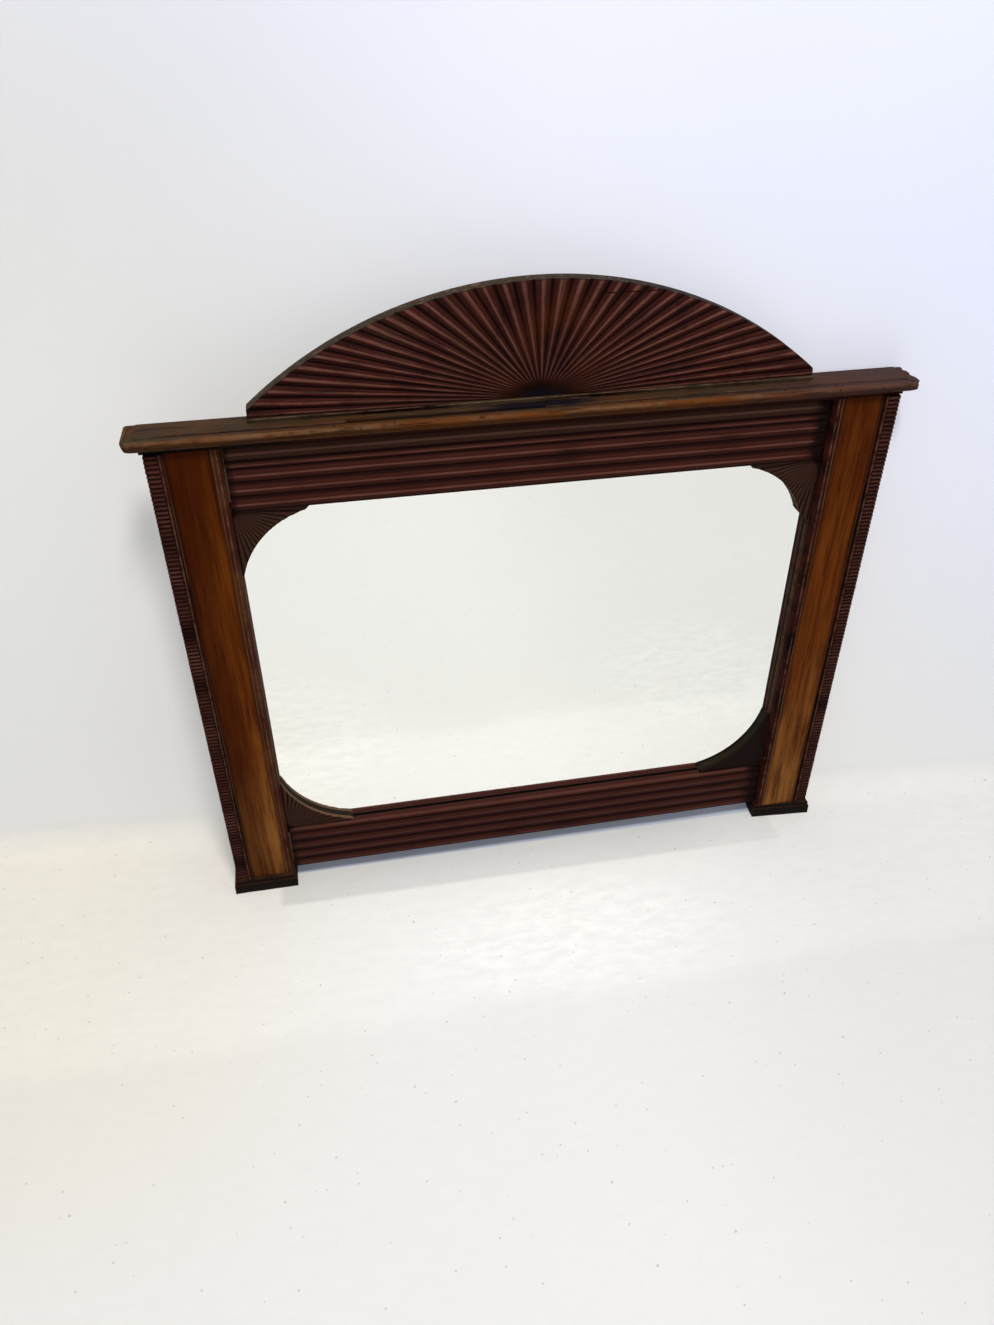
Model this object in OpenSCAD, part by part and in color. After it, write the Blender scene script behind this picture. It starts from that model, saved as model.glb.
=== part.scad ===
// Overmantel mirror with a sunburst pediment, in the art deco manner.
// Origin: middle of the footprint, on the floor. The glass faces -Y, +X is to the viewer's right,
// +Z is up. Millimetres.

/* [Frame] */
// Width over the two posts, outer side to outer side
frame_w = 1000; // [860:10:1300]
// Height from the floor to the top of the cornice
frame_h = 807; // [740:1:1000]
// Depth from the face of the ribbed strips to the back
frame_d = 50; // [48:1:60]
// Width of a post, from its outer side to the side of the reveal
post_w = 92; // [86:1:120]
// Height of each foot
foot_h = 26; // [22:1:45]

/* [Post facings] */
// Thickness of the strips laid on the post
facing_t = 11; // [9:0.5:14]
// Width of the ribbed strip
ribs_w = 17; // [12:0.5:22]
// Spacing of the cross ribs
rib_pitch = 6.2; // [5:0.1:9]
// Depth of the grooves between ribs
rib_depth = 1.4; // [0.6:0.1:2.5]
// Width of the bead beside the panel
bead_w = 5.5; // [4:0.5:8]
// How far the veneered panel lies behind the ribbed strip
panel_back = 5; // [3:0.5:7]
// Width of the inner edge strip
edge_w = 10; // [8:0.5:14]
// How far the front of the inner edge strip lies behind the ribbed strip
edge_back = 4; // [2:0.5:6]
// Width of the slope on the inner edge strip
edge_slope_w = 6; // [3:0.5:7]
// Depth of the slope on the inner edge strip
edge_slope_d = 7; // [3:0.5:8]

/* [Rails] */
// How far the reeds lie behind the ribbed strip
rail_back = 10; // [8:0.5:11]
// Height of one reed
reed_h = 20; // [17:0.5:24]
// Depth of the grooves between reeds
reed_depth = 3.5; // [1.5:0.5:5]
// Reeds on the top rail
top_reeds = 3; // [2:1:4]
// Reeds on the bottom rail
bottom_reeds = 4; // [3:1:5]
// How far the bottom rail lies above the feet
rail_rise = 6; // [0:1:12]
// Height cut away from the lowest reed
bottom_reed_cut = 4.5; // [0:0.5:8]
// Height of the flat cap over the bottom reeds
bottom_cap_h = 5.5; // [2:0.5:8]
// Height of the small bead over the top reeds
rail_bead_h = 8.5; // [5:0.5:12]
// Height of the broad frieze reed
frieze_h = 23; // [16:0.5:30]
// Gap between the end of a reeded facing and the post
rail_end_gap = 3; // [1:0.5:5]

/* [Sight edge and glass] */
// Depth from the ribbed strip to the front of the sight fillet
fillet_front = 24; // [22:0.5:28]
// Thickness of the sight fillet
fillet_t = 6; // [5:0.5:10]
// Height of the sight fillet along a rail
fillet_h = 10; // [8:0.5:14]
// How far the sight fillet stands out of the reveal
fillet_out = 1; // [0.5:0.5:3]
// Thickness of the glass
glass_t = 4; // [3:0.5:5]
// Space round the edge of the glass
glass_gap = 3; // [2:0.5:4]
// Space between the cap of the bottom rail and the glass
cap_gap = 2; // [1:0.5:3]
// Thickness of the packing sheet behind the glass
sheet_t = 1.5; // [1:0.5:3]
// Thickness of the backboards
board_t = 6; // [5:0.5:8]
// How far the backboards lie over the frame
board_lap = 12; // [10:1:16]

/* [Corner fans] */
// Top left: legs along the rail and the post, then centre (across, up) and radius of the sweep
top_left_fan = [102, 101, 127.5, 134.5, 130.5]; // [60:0.5:160]
// Top right, the same five sizes
top_right_fan = [106, 101, 129.5, 123, 120]; // [60:0.5:160]
// Bottom left, the same five sizes
bottom_left_fan = [107, 98, 133.5, 140, 139]; // [60:0.5:160]
// Bottom right, the same five sizes
bottom_right_fan = [111, 114, 138.5, 138.5, 137.5]; // [60:0.5:160]
// Slant at the end of each leg
corner_shoulder = 10; // [6:1:14]
// Thickness of a carved corner plate
corner_plate_t = 6.5; // [6:0.5:8]
// Thickness of the block behind a corner plate
corner_block_t = 5.5; // [4:0.5:7]
// Reeds on a carved corner plate
corner_reeds = 14; // [9:1:17]

/* [Cornice] */
// How far the cornice stands in front of the ribbed strips
nose_out = 10; // [8:1:16]
// How far the cornice stands out at each end
nose_end_out = 23; // [18:1:28]
// Width of the nose moulding
nose_w = 16; // [13:0.5:18]
// Thickness of the bed board
bed_t = 8; // [6:0.5:14]
// How far the bed board stands out of the posts' sides
bed_out = 4; // [2:0.5:5]
// How far the front of the bed board lies behind the ribbed strips
bed_back = 6; // [2:0.5:8]
// Thickness of the cornice board
cornice_t = 9; // [6:0.5:12]
// Thickness of the top board
top_t = 5; // [3:0.5:7]
// Where the splinter lost from the top board's front edge starts and ends, from the middle
splinter_x = [-253, 5]; // [-400:1:400]
// Depth of that splinter
splinter_d = 9; // [4:0.5:12]
// Radius of the nose's slanting face
nose_round = 24; // [16:1:60]
// Height of the upright lip over that face, with its round
nose_lip = 4.5; // [3:0.5:7]
// Radius of the round at the top of the nose
nose_arris = 4; // [1:0.5:5]
// How far the nose hangs in front of the bed board
nose_drop = 4; // [0:0.5:6]
// Radius of the worn front corners
corner_r = 16; // [3:1:20]

/* [Pediment] */
// Width of the fan board
fan_w = 747; // [600:1:800]
// Height of the fan board at the middle
fan_h = 152; // [120:1:200]
// Height of its upright ends
fan_end_h = 15; // [10:1:25]
// Thickness of the fan board
fan_t = 23; // [20:1:30]
// How far the fan stands off the middle of the cornice
fan_shift = 3.5; // [-10:0.5:10]
// Reeds that meet the curved edge
fan_reeds = 33; // [21:2:41]
// Height of the fillet at the foot of the fan
fan_fillet_h = 5.5; // [4:0.5:8]
// Thickness of that fillet
fan_fillet_t = 5; // [3:0.5:6]

/* [Feet] */
// How far a foot stands out of the post's side
foot_out = 6.5; // [5:0.5:10]
// How far a foot stands out of the ribbed strip's face
foot_front_out = 4; // [2:0.5:8]
// How far a foot runs past the reveal
foot_in = 4; // [1:0.5:6]
// How far the right foot's inner front corner lies behind its outer one
foot_skew = 8; // [0:1:10]
// How far the upper tier is set in
tier_in = 2; // [1:0.5:3]
// Height of the groove between the tiers
tier_groove_h = 1.5; // [1:0.5:4]
// Height of the lower tier
lower_tier_h = 18.5; // [14:0.5:20]

/* [Fixings] */
// Radius of a wood screw's shank
screw_r = 2; // [1.5:0.25:2.5]
// Radius of a wood screw's head
head_r = 4; // [3.5:0.25:4.5]
// Radius of a pediment dowel
dowel_r = 4; // [3:0.5:5]
// Radius of the hole in a hanger plate
hanger_hole_r = 5; // [4:0.5:6]
// Distance of the hanger holes below the cornice
hanger_drop = 95; // [60:5:200]

/* [Hidden] */
$fn = 64;

// Play between a tenon and its mortise
tenon_play = 0.2;
// Play round a board in its rebate, and between two backboards
board_play = 0.5;

// Depths, from the face of the ribbed strips at face_y to the back at back_y
face_y = -(frame_d - nose_out) / 2;
back_y = face_y + frame_d;
core_y = face_y + facing_t;
reed_y = face_y + rail_back;
fillet_y = face_y + fillet_front;
glass_y = fillet_y + fillet_t;
sheet_y = glass_y + glass_t;
board_y = sheet_y + sheet_t;
board_back_y = board_y + board_t;
slip_t = 6;
slip_y = fillet_y - slip_t;

// Widths, from the middle line to the right
out_x = frame_w / 2;
reveal_x = out_x - post_w;
core_x = reveal_x + edge_w;
ribs_x = out_x - ribs_w;
bead_x = ribs_x - bead_w;
sight_x = reveal_x - fillet_out;
rebate_x = core_x + board_lap;
facing_x = reveal_x - rail_end_gap;
glass_x = core_x - glass_gap;
post_mid_x = (rebate_x + out_x) / 2;

// Heights
cornice_z = frame_h - top_t;
bed_top_z = cornice_z - cornice_t;
post_top_z = bed_top_z - bed_t;
frieze_z = post_top_z - frieze_h;
top_reeds_z = frieze_z - rail_bead_h;
sight_top_z = top_reeds_z - top_reeds * reed_h;
rail_z = foot_h + rail_rise;
bottom_reeds_z = rail_z - bottom_reed_cut + bottom_reeds * reed_h;
sight_bottom_z = bottom_reeds_z + bottom_cap_h;
chamber_top_z = sight_top_z + fillet_h;
chamber_bottom_z = bottom_reeds_z - fillet_h;
glass_top_z = chamber_top_z - glass_gap;
glass_bottom_z = chamber_bottom_z + glass_gap;
board_top_z = chamber_top_z + board_lap;
board_bottom_z = chamber_bottom_z - board_lap;

// Groove left between a reeded facing and the sight fillet
shadow_groove = 2;

// Tenons on the carcass rails
tenon_l = 30;
tenon_t = 10;
tenon_y = fillet_y + 3;
tenon_shoulder = 14;

// Reeds of the fans: flats across each, and how much wider its round is than the reed
reed_steps = 6;
reed_spread = 1.7;

// Cornice nose, and the flat under it
nose_top_drop = 1;
nose_flat_w = 1.5;
cornice_y = face_y + nose_w - nose_out;
cornice_x = out_x + nose_end_out - nose_w;
nose_z = bed_top_z - nose_drop;
nose_h = frame_h - nose_top_drop - nose_z;
nose_x = out_x + nose_end_out;
nose_y = face_y - nose_out;

// Pediment fan: its curved edge is one arc, and its rays meet a little above its foot
fan_front_y = back_y - fan_t;
fan_rise = fan_h - fan_end_h;
fan_r = (pow(fan_w / 2, 2) + pow(fan_rise, 2)) / (2 * fan_rise);
fan_centre_z = frame_h + fan_h - fan_r;
fan_half_angle = asin(fan_w / 2 / fan_r);
fan_focus_z = frame_h + fan_fillet_h - 1.5;
// How far the fan's fillet is let into its reeds
fan_ground = 1;

// Feet
foot_front_y = face_y - foot_front_out;
foot_x0 = reveal_x - foot_in;
foot_x1 = out_x + foot_out;

// Fixings
head_h = 2;
fixing_y = face_y + 20;
screw_inset = 20;
screw_bite = 20;
post_screw_x = [core_x + screw_inset, out_x - screw_inset];
cornice_screw_l = cornice_t + bed_t + screw_bite;
rail_screw_x = 200;
rail_screw_y = fillet_y + 9;
foot_screw_l = foot_h + 1.5 * screw_bite;
foot_screw_sink = 3;
board_screw_l = 17;
board_screw_inset = 25;
dowel_l = 40;
dowel_in_fan = 22;
dowel_x = [-300, -120, 120, 300];
hanger_z = post_top_z - hanger_drop;
hanger_w = 24;
hanger_l = 56;
hanger_t = 2;
hanger_pocket = 18;
hanger_screw_z = 21;
hanger_screw_r = 1.75;
hanger_head_r = 3.5;
hanger_screw_l = 18;

// Wedges round the glass: two on each upright edge, two above and two below
wedge_l = 40;
wedge_in_z = 120;
wedge_x = 250;

board_h = (board_top_z - board_bottom_z - 4 * board_play) / 3;

// Extrusions of an outline along one axis: the outline is drawn in the other two, in X, Y, Z order
module along_x(x0, x1) {
    translate([x0, 0, 0]) rotate([90, 0, 90]) linear_extrude(x1 - x0) children();
}

module along_y(y0, y1) {
    translate([0, y1, 0]) rotate([90, 0, 0]) linear_extrude(y1 - y0) children();
}

module along_z(z0, z1) {
    translate([0, 0, z0]) linear_extrude(z1 - z0) children();
}

module box(low, high) {
    translate(low) cube(high - low);
}

// A piece drawn for the right is mirrored for the left
module on_side(side) {
    if (side < 0) mirror([1, 0, 0]) children();
    else children();
}

// A countersunk screw with its head's face at the origin, pointing down
module screw(l, r, head) {
    translate([0, 0, -l]) cylinder(h = l - head_h + 0.001, r = r);
    translate([0, 0, -head_h]) cylinder(h = head_h, r1 = r, r2 = head);
}

// Screws placed by the pieces that they hold
module cornice_screw_set(side) {
    for (x = post_screw_x)
        translate([side * x, fixing_y, cornice_z]) screw(cornice_screw_l, screw_r, head_r);
}

module rail_screw_set() {
    for (x = [-rail_screw_x, rail_screw_x])
        translate([x, rail_screw_y, cornice_z]) screw(cornice_screw_l, screw_r, head_r);
}

module foot_screw_set(side) {
    for (x = post_screw_x)
        translate([side * x, fixing_y, foot_screw_sink]) rotate([180, 0, 0])
            screw(foot_screw_l, screw_r, head_r);
}

module board_screw_set(side, row) {
    low = board_bottom_z + board_play + row * (board_h + board_play);
    for (z = [low + board_screw_inset, low + board_h - board_screw_inset])
        translate([side * (core_x + board_lap / 2), board_back_y, z]) rotate([-90, 0, 0])
            screw(board_screw_l, screw_r, head_r);
}

module hanger_screw_set(side) {
    for (z = [-hanger_screw_z, hanger_screw_z])
        translate([side * post_mid_x, back_y, hanger_z + z]) rotate([-90, 0, 0])
            screw(hanger_screw_l, hanger_screw_r, hanger_head_r);
}

module dowel_set() {
    for (x = dowel_x)
        translate([fan_shift + x, back_y - fan_t / 2, frame_h + dowel_in_fan - dowel_l])
            cylinder(h = dowel_l, r = dowel_r);
}

// Post core, with the mortises, the recess for the backboards and the housing of the hanger plate
module post(side) {
    on_side(side) difference() {
        box([core_x, core_y, foot_h], [out_x, back_y, post_top_z]);
        box([core_x - 1, board_y, board_bottom_z], [rebate_x, back_y + 1, board_top_z]);
        tenon(bottom_tenon_z(), tenon_play);
        tenon(top_tenon_z(), tenon_play);
        box([post_mid_x - hanger_w / 2 - tenon_play, back_y - hanger_t, hanger_z - hanger_l / 2 - tenon_play],
            [post_mid_x + hanger_w / 2 + tenon_play, back_y + 1, hanger_z + hanger_l / 2 + tenon_play]);
        translate([post_mid_x, back_y - hanger_t, hanger_z]) rotate([90, 0, 0])
            cylinder(h = hanger_pocket, r = hanger_hole_r);
        cornice_screw_set(1);
        foot_screw_set(1);
        hanger_screw_set(1);
        for (row = [0 : 2]) board_screw_set(1, row);
    }
}

function bottom_tenon_z() = [rail_z + tenon_shoulder, board_bottom_z - 3];
function top_tenon_z() = [board_top_z + 6, post_top_z - tenon_shoulder];

module tenon(z, play) {
    box([core_x - 1, tenon_y - play, z[0] - play],
        [core_x + tenon_l + play, tenon_y + tenon_t + play, z[1] + play]);
}

// Veneered panel
module panel(side) {
    on_side(side) box([core_x, face_y + panel_back, foot_h], [bead_x, core_y, post_top_z]);
}

// Strip with small round ribs across it
module ribbed_strip(side) {
    count = round((post_top_z - foot_h) / rib_pitch);
    pitch = (post_top_z - foot_h) / count;
    steps = 4;
    on_side(side) along_x(ribs_x, out_x) polygon(concat(
        [for (i = [0 : count * steps - 1])
            [face_y + rib_depth * (1 - sin(180 * (i % steps) / steps)), foot_h + pitch * i / steps]],
        [[face_y + rib_depth, post_top_z], [core_y, post_top_z], [core_y, foot_h]]
    ));
}

// Round-fronted bead between the ribs and the panel
module bead(side) {
    r = bead_w / 2;
    on_side(side) along_z(foot_h, post_top_z) union() {
        translate([bead_x, face_y + r]) square([bead_w, facing_t - r]);
        translate([bead_x + r, face_y + r]) circle(r);
    }
}

// Inner edge strip: a flat, then a slope into the reveal
module inner_edge(side) {
    front = face_y + edge_back;
    on_side(side) along_z(foot_h, post_top_z) polygon([
        [core_x, front], [reveal_x + edge_slope_w, front], [reveal_x, front + edge_slope_d],
        [reveal_x, slip_y], [core_x, slip_y]
    ]);
}

// Plain slip behind the inner edge, with a small quirk at each arris
module sight_slip(side) {
    q = 0.6;
    on_side(side) along_z(foot_h, post_top_z) polygon([
        [core_x, slip_y], [reveal_x + q, slip_y], [reveal_x, slip_y + q],
        [reveal_x, fillet_y - q], [reveal_x + q, fillet_y], [core_x, fillet_y]
    ]);
}

// Sight fillets that the glass lies against
module sight_fillet_side(side) {
    on_side(side) box([sight_x, fillet_y, sight_bottom_z], [core_x, glass_y, sight_top_z]);
}

module sight_fillet_rail(low) {
    box([-core_x, fillet_y, low], [core_x, glass_y, low + fillet_h]);
}

// Carcass rails, tenoned into the posts
module carcass_rail(outline, z) {
    difference() {
        union() {
            along_x(-core_x, core_x) polygon(outline);
            for (side = [-1, 1]) on_side(side)
                box([core_x - 0.001, tenon_y, z[0]], [core_x + tenon_l, tenon_y + tenon_t, z[1]]);
        }
        rail_screw_set();
    }
}

module top_carcass_rail() {
    carcass_rail([
        [fillet_y, post_top_z], [fillet_y, chamber_top_z], [board_y, chamber_top_z],
        [board_y, board_top_z], [back_y, board_top_z], [back_y, post_top_z]
    ], top_tenon_z());
}

module bottom_carcass_rail() {
    carcass_rail([
        [fillet_y, rail_z], [fillet_y, chamber_bottom_z], [board_y, chamber_bottom_z],
        [board_y, board_bottom_z], [back_y, board_bottom_z], [back_y, rail_z]
    ], bottom_tenon_z());
}

// Reeded facing of the top rail
module top_reed_facing() {
    r_back = fillet_y - shadow_groove;
    along_x(-facing_x, facing_x) union() {
        reed_band(sight_top_z, top_reeds, reed_h, reed_depth, r_back);
        translate([r_back, chamber_top_z]) square([shadow_groove, top_reeds_z - chamber_top_z]);
    }
}

// Reeded facing of the bottom rail, with its flat cap
module bottom_reed_facing() {
    r_back = fillet_y - shadow_groove;
    along_x(-facing_x, facing_x) union() {
        intersection() {
            reed_band(rail_z - bottom_reed_cut, bottom_reeds, reed_h, reed_depth, r_back);
            translate([reed_y, rail_z]) square([r_back - reed_y, bottom_reeds_z - rail_z]);
        }
        translate([reed_y + reed_depth, bottom_reeds_z])
            square([glass_y - cap_gap - reed_y - reed_depth, bottom_cap_h]);
        translate([r_back, rail_z]) square([shadow_groove, chamber_bottom_z - rail_z]);
    }
}

// A band of reeds on a flat ground
module reed_band(z0, count, h, depth, back) {
    r = (pow(h / 2, 2) + pow(depth, 2)) / (2 * depth);
    translate([reed_y + depth, z0]) square([back - reed_y - depth, count * h]);
    for (i = [0 : count - 1]) intersection() {
        translate([reed_y, z0 + i * h]) square([depth + 1, h]);
        translate([reed_y + r, z0 + (i + 0.5) * h]) circle(r, $fn = 160);
    }
}

module rail_bead_strip() {
    along_x(-facing_x, facing_x)
        reed_band(top_reeds_z, 1, rail_bead_h, reed_depth - 1, fillet_y);
}

module frieze_strip() {
    along_x(-facing_x, facing_x)
        reed_band(frieze_z, 1, frieze_h, reed_depth, fillet_y);
}

// Outline of a corner piece from its corner at the origin: two legs, joined by a hollow sweep
module corner_outline(legs) {
    s = corner_shoulder;
    difference() {
        polygon([[0, 0], [legs[0], 0], [legs[0] - s, s], [s, legs[1] - s], [0, legs[1]]]);
        translate([legs[2], legs[3]]) circle(legs[4], $fn = 180);
    }
}

// Distance from that corner to the sweep or to a leg's slanted end, along a ray at the given angle
function corner_reach(legs, a) =
    let (along = legs[2] * cos(a) + legs[3] * sin(a))
    let (off = pow(legs[2], 2) + pow(legs[3], 2) - pow(legs[4], 2))
    let (disc = pow(along, 2) - off)
    let (sweep = disc > 0 ? along - sqrt(disc) : 1000)
    min(sweep, (a < 45 ? legs[0] : legs[1]) / (cos(a) + sin(a)));

// Places a corner piece drawn at the origin, with its front at y = 0, into one of the four corners
module in_corner(side, top, y) {
    z = top ? sight_top_z : sight_bottom_z;
    translate([0, y, z]) on_side(side) translate([sight_x, 0, 0]) mirror([1, 0, 0])
        mirror([0, 0, top ? 1 : 0]) children();
}

module corner_block(side, top, legs) {
    in_corner(side, top, glass_y - corner_block_t)
        along_y(0, corner_block_t) corner_outline(legs);
}

// Carved plate: reeds that spread from the corner
module corner_fan(side, top, legs) {
    n = corner_reeds * reed_steps;
    rays = [for (i = [0 : n]) 90 * i / n];
    depths = [for (i = [0 : n]) reed_fall(i % reed_steps, 45 / corner_reeds)];
    in_corner(side, top, glass_y - corner_block_t - corner_plate_t)
        carved_fan(
            [for (i = [0 : n]) corner_reach(legs, rays[i]) * [cos(rays[i]), depths[i], sin(rays[i])]],
            corner_plate_t);
}

// A plain plate, where the photograph shows no reeds
module corner_plain(side, top, legs) {
    in_corner(side, top, glass_y - corner_block_t - corner_plate_t)
        along_y(0, corner_plate_t) corner_outline(legs);
}

// How deep a reed's surface lies, as a share of the distance from the focus, at a step across it
function reed_fall(step, half_angle) =
    let (u = 2 * step / reed_steps - 1)
    tan(half_angle) * (reed_spread - sqrt(pow(reed_spread, 2) - pow(u, 2)));

// Solid between a flat back at y = t and straight lines from the origin to the points of a rim.
// The rim goes right round the origin when it is closed, or starts and ends beside it.
module carved_fan(rim, t, closed = false) {
    n = len(rim);
    edge = [for (i = [closed ? 1 : 0 : n]) i];
    count = len(edge);
    back = [for (p = concat([[0, 0, 0]], rim)) [p[0], t, p[2]]];
    polyhedron(
        points = concat([[0, 0, 0]], rim, back),
        faces = concat(
            [for (i = [1 : n - 1]) [0, i + 1, i]],
            closed ? [[0, 1, n]] : [],
            [for (i = [0 : count - 1])
                let (a = edge[i])
                let (b = edge[(i + 1) % count])
                [a, b, n + 1 + b, n + 1 + a]],
            [[for (i = edge) n + 1 + i]]
        )
    );
}

// Cornice: bed board, cornice board, top board and nose moulding
module bed() {
    difference() {
        box([-out_x - bed_out, face_y + bed_back, post_top_z], [out_x + bed_out, back_y, bed_top_z]);
        cornice_screw_set(-1);
        cornice_screw_set(1);
        rail_screw_set();
        dowel_set();
    }
}

module cornice_core() {
    difference() {
        box([-cornice_x, cornice_y, bed_top_z], [cornice_x, back_y, cornice_z]);
        cornice_screw_set(-1);
        cornice_screw_set(1);
        rail_screw_set();
        dowel_set();
    }
}

// The top board has lost a long splinter from its front edge
module cornice_cover() {
    taper = 6;
    run = 65;
    difference() {
        box([-cornice_x, cornice_y, cornice_z], [cornice_x, back_y, frame_h]);
        along_z(cornice_z - 1, frame_h + 1) translate([0, cornice_y]) polygon([
            [splinter_x[0], -1], [splinter_x[0] + taper, splinter_d], [splinter_x[1] - run, splinter_d],
            [splinter_x[1] - 2, splinter_d - 3], [splinter_x[1], -1]
        ]);
        dowel_set();
    }
}

// Nose outline: outwards from its joint with the boards, and up from its foot. Its face is an arc
// that slants out from the flat under the nose to the foot of the rounded lip.
module nose_outline() {
    run = nose_w - nose_flat_w;
    rise = nose_h - nose_lip;
    chord = norm([run, rise]);
    reach = sqrt(pow(nose_round, 2) - pow(chord / 2, 2)) / chord;
    intersection() {
        union() {
            square([nose_w - nose_arris, nose_h]);
            square([nose_w, nose_h - nose_arris]);
            translate([nose_w - nose_arris, nose_h - nose_arris]) circle(nose_arris);
        }
        translate([nose_flat_w + run / 2 - rise * reach, rise / 2 + run * reach])
            circle(nose_round, $fn = 160);
    }
}

// The plan of the cornice, with worn front corners, cut along the mitres into three lengths
module nose_plan() {
    r = corner_r;
    union() {
        translate([-nose_x, nose_y + r]) square([2 * nose_x, back_y - nose_y - r]);
        translate([-nose_x + r, nose_y]) square([2 * (nose_x - r), r + 1]);
        for (x = [-nose_x + r, nose_x - r]) translate([x, nose_y + r]) circle(r);
    }
}

module mitre(side) {
    far = 200;
    translate([side * nose_x, nose_y]) polygon([
        [0, 0], [-side * far, far], [side * far, far], [side * far, -far], [side, -1]
    ]);
}

module nose_front() {
    intersection() {
        translate([0, cornice_y, nose_z]) mirror([0, 1, 0]) along_x(-nose_x, nose_x) nose_outline();
        along_z(nose_z - 1, frame_h) difference() {
            nose_plan();
            mitre(-1);
            mitre(1);
        }
    }
}

module nose_return(side) {
    intersection() {
        on_side(side) translate([cornice_x, 0, nose_z])
            along_y(nose_y, back_y) nose_outline();
        along_z(nose_z - 1, frame_h) intersection() {
            nose_plan();
            mitre(side);
        }
    }
}

// Pediment: the reeds meet the curved edge at even steps, and one more lies along each upright end
function edge_point(i) =
    let (a = 90 - fan_half_angle + 2 * fan_half_angle * i / fan_reeds)
    [fan_r * cos(a), fan_centre_z + fan_r * sin(a) - fan_focus_z];

module sunburst() {
    low = fan_focus_z - frame_h;
    half_w = fan_w / 2;
    first = atan2(edge_point(0)[1], half_w);
    right = [for (k = [0 : reed_steps - 1])
        let (a = first * k / reed_steps)
        [half_w, half_w / cos(a) * reed_fall(k, first / 2), half_w * tan(a)]];
    curve = [for (i = [0 : fan_reeds - 1], k = [0 : reed_steps - 1])
        let (p = edge_point(i + k / reed_steps))
        let (a = edge_point(i))
        let (b = edge_point(i + 1))
        [p[0], norm(p) * reed_fall(k, (atan2(b[1], b[0]) - atan2(a[1], a[0])) / 2), p[1]]];
    last = [-half_w, curve[0][1], curve[0][2]];
    left = [for (k = [reed_steps - 1 : -1 : 0]) [-half_w, right[k][1], right[k][2]]];
    difference() {
        translate([fan_shift, fan_front_y, fan_focus_z])
            carved_fan(concat(
                [[0, fan_ground, -low], [half_w, fan_ground, -low]], right, curve, [last], left,
                [[-half_w, fan_ground, -low]]
            ), fan_t, true);
        box([fan_shift - half_w - 1, fan_front_y - 1, frame_h - 1],
            [fan_shift + half_w + 1, fan_front_y + fan_ground, frame_h + fan_fillet_h]);
        dowel_set();
    }
}

module fan_fillet() {
    y = fan_front_y + fan_ground;
    box([fan_shift - fan_w / 2, y - fan_fillet_t, frame_h],
        [fan_shift + fan_w / 2, y, frame_h + fan_fillet_h]);
}

// Feet in two tiers with a groove between them; the right foot's front is out of square
module foot_tier(side, inset, z0, z1) {
    skew = side > 0 ? foot_skew : 0;
    along_z(z0, z1) polygon([
        [foot_x0 + inset, foot_front_y + inset + skew], [foot_x1 - inset, foot_front_y + inset],
        [foot_x1 - inset, back_y], [foot_x0 + inset, back_y]
    ]);
}

module foot_lower(side) {
    on_side(side) difference() {
        foot_tier(side, 0, 0, lower_tier_h);
        foot_screw_set(1);
        for (x = post_screw_x) translate([x, fixing_y, -1])
            cylinder(h = foot_screw_sink + 1, r = head_r);
    }
}

module foot_upper(side) {
    groove_top_z = lower_tier_h + tier_groove_h;
    on_side(side) difference() {
        union() {
            foot_tier(side, 2 * tier_in, lower_tier_h, groove_top_z);
            foot_tier(side, tier_in, groove_top_z, foot_h);
        }
        foot_screw_set(1);
    }
}

// Glass, packing sheet, backboards and wedges
module glass() {
    box([-glass_x, glass_y, glass_bottom_z], [glass_x, sheet_y, glass_top_z]);
}

module sheet() {
    box([-glass_x, sheet_y, glass_bottom_z], [glass_x, board_y, glass_top_z]);
}

module backboard(row) {
    low = board_bottom_z + board_play + row * (board_h + board_play);
    difference() {
        box([-rebate_x + board_play, board_y, low],
            [rebate_x - board_play, board_back_y, low + board_h]);
        board_screw_set(-1, row);
        board_screw_set(1, row);
    }
}

module wedges() {
    for (side = [-1, 1]) {
        for (z = [glass_bottom_z + wedge_in_z, glass_top_z - wedge_in_z])
            on_side(side) box([glass_x, glass_y, z - wedge_l / 2], [core_x, sheet_y, z + wedge_l / 2]);
        for (z = [chamber_bottom_z, glass_top_z])
            translate([side * wedge_x, 0, z])
                box([-wedge_l / 2, glass_y, 0], [wedge_l / 2, sheet_y, glass_gap]);
    }
}

// Hanger plate with a hole for a hook, let into the back of the post
module hanger_plate(side) {
    on_side(side) difference() {
        box([post_mid_x - hanger_w / 2, back_y - hanger_t, hanger_z - hanger_l / 2],
            [post_mid_x + hanger_w / 2, back_y, hanger_z + hanger_l / 2]);
        translate([post_mid_x, back_y + 1, hanger_z]) rotate([90, 0, 0])
            cylinder(h = hanger_t + 2, r = hanger_hole_r);
        hanger_screw_set(1);
    }
}

// Colours
dark = [0.24, 0.12, 0.10];
reed_brown = [0.33, 0.17, 0.14];
veneer = [0.50, 0.26, 0.10];
worn = [0.40, 0.27, 0.17];
olive = [0.36, 0.34, 0.26];
black = [0.12, 0.10, 0.09];
pine = [0.72, 0.58, 0.40];
steel = [0.62, 0.62, 0.64];

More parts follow.
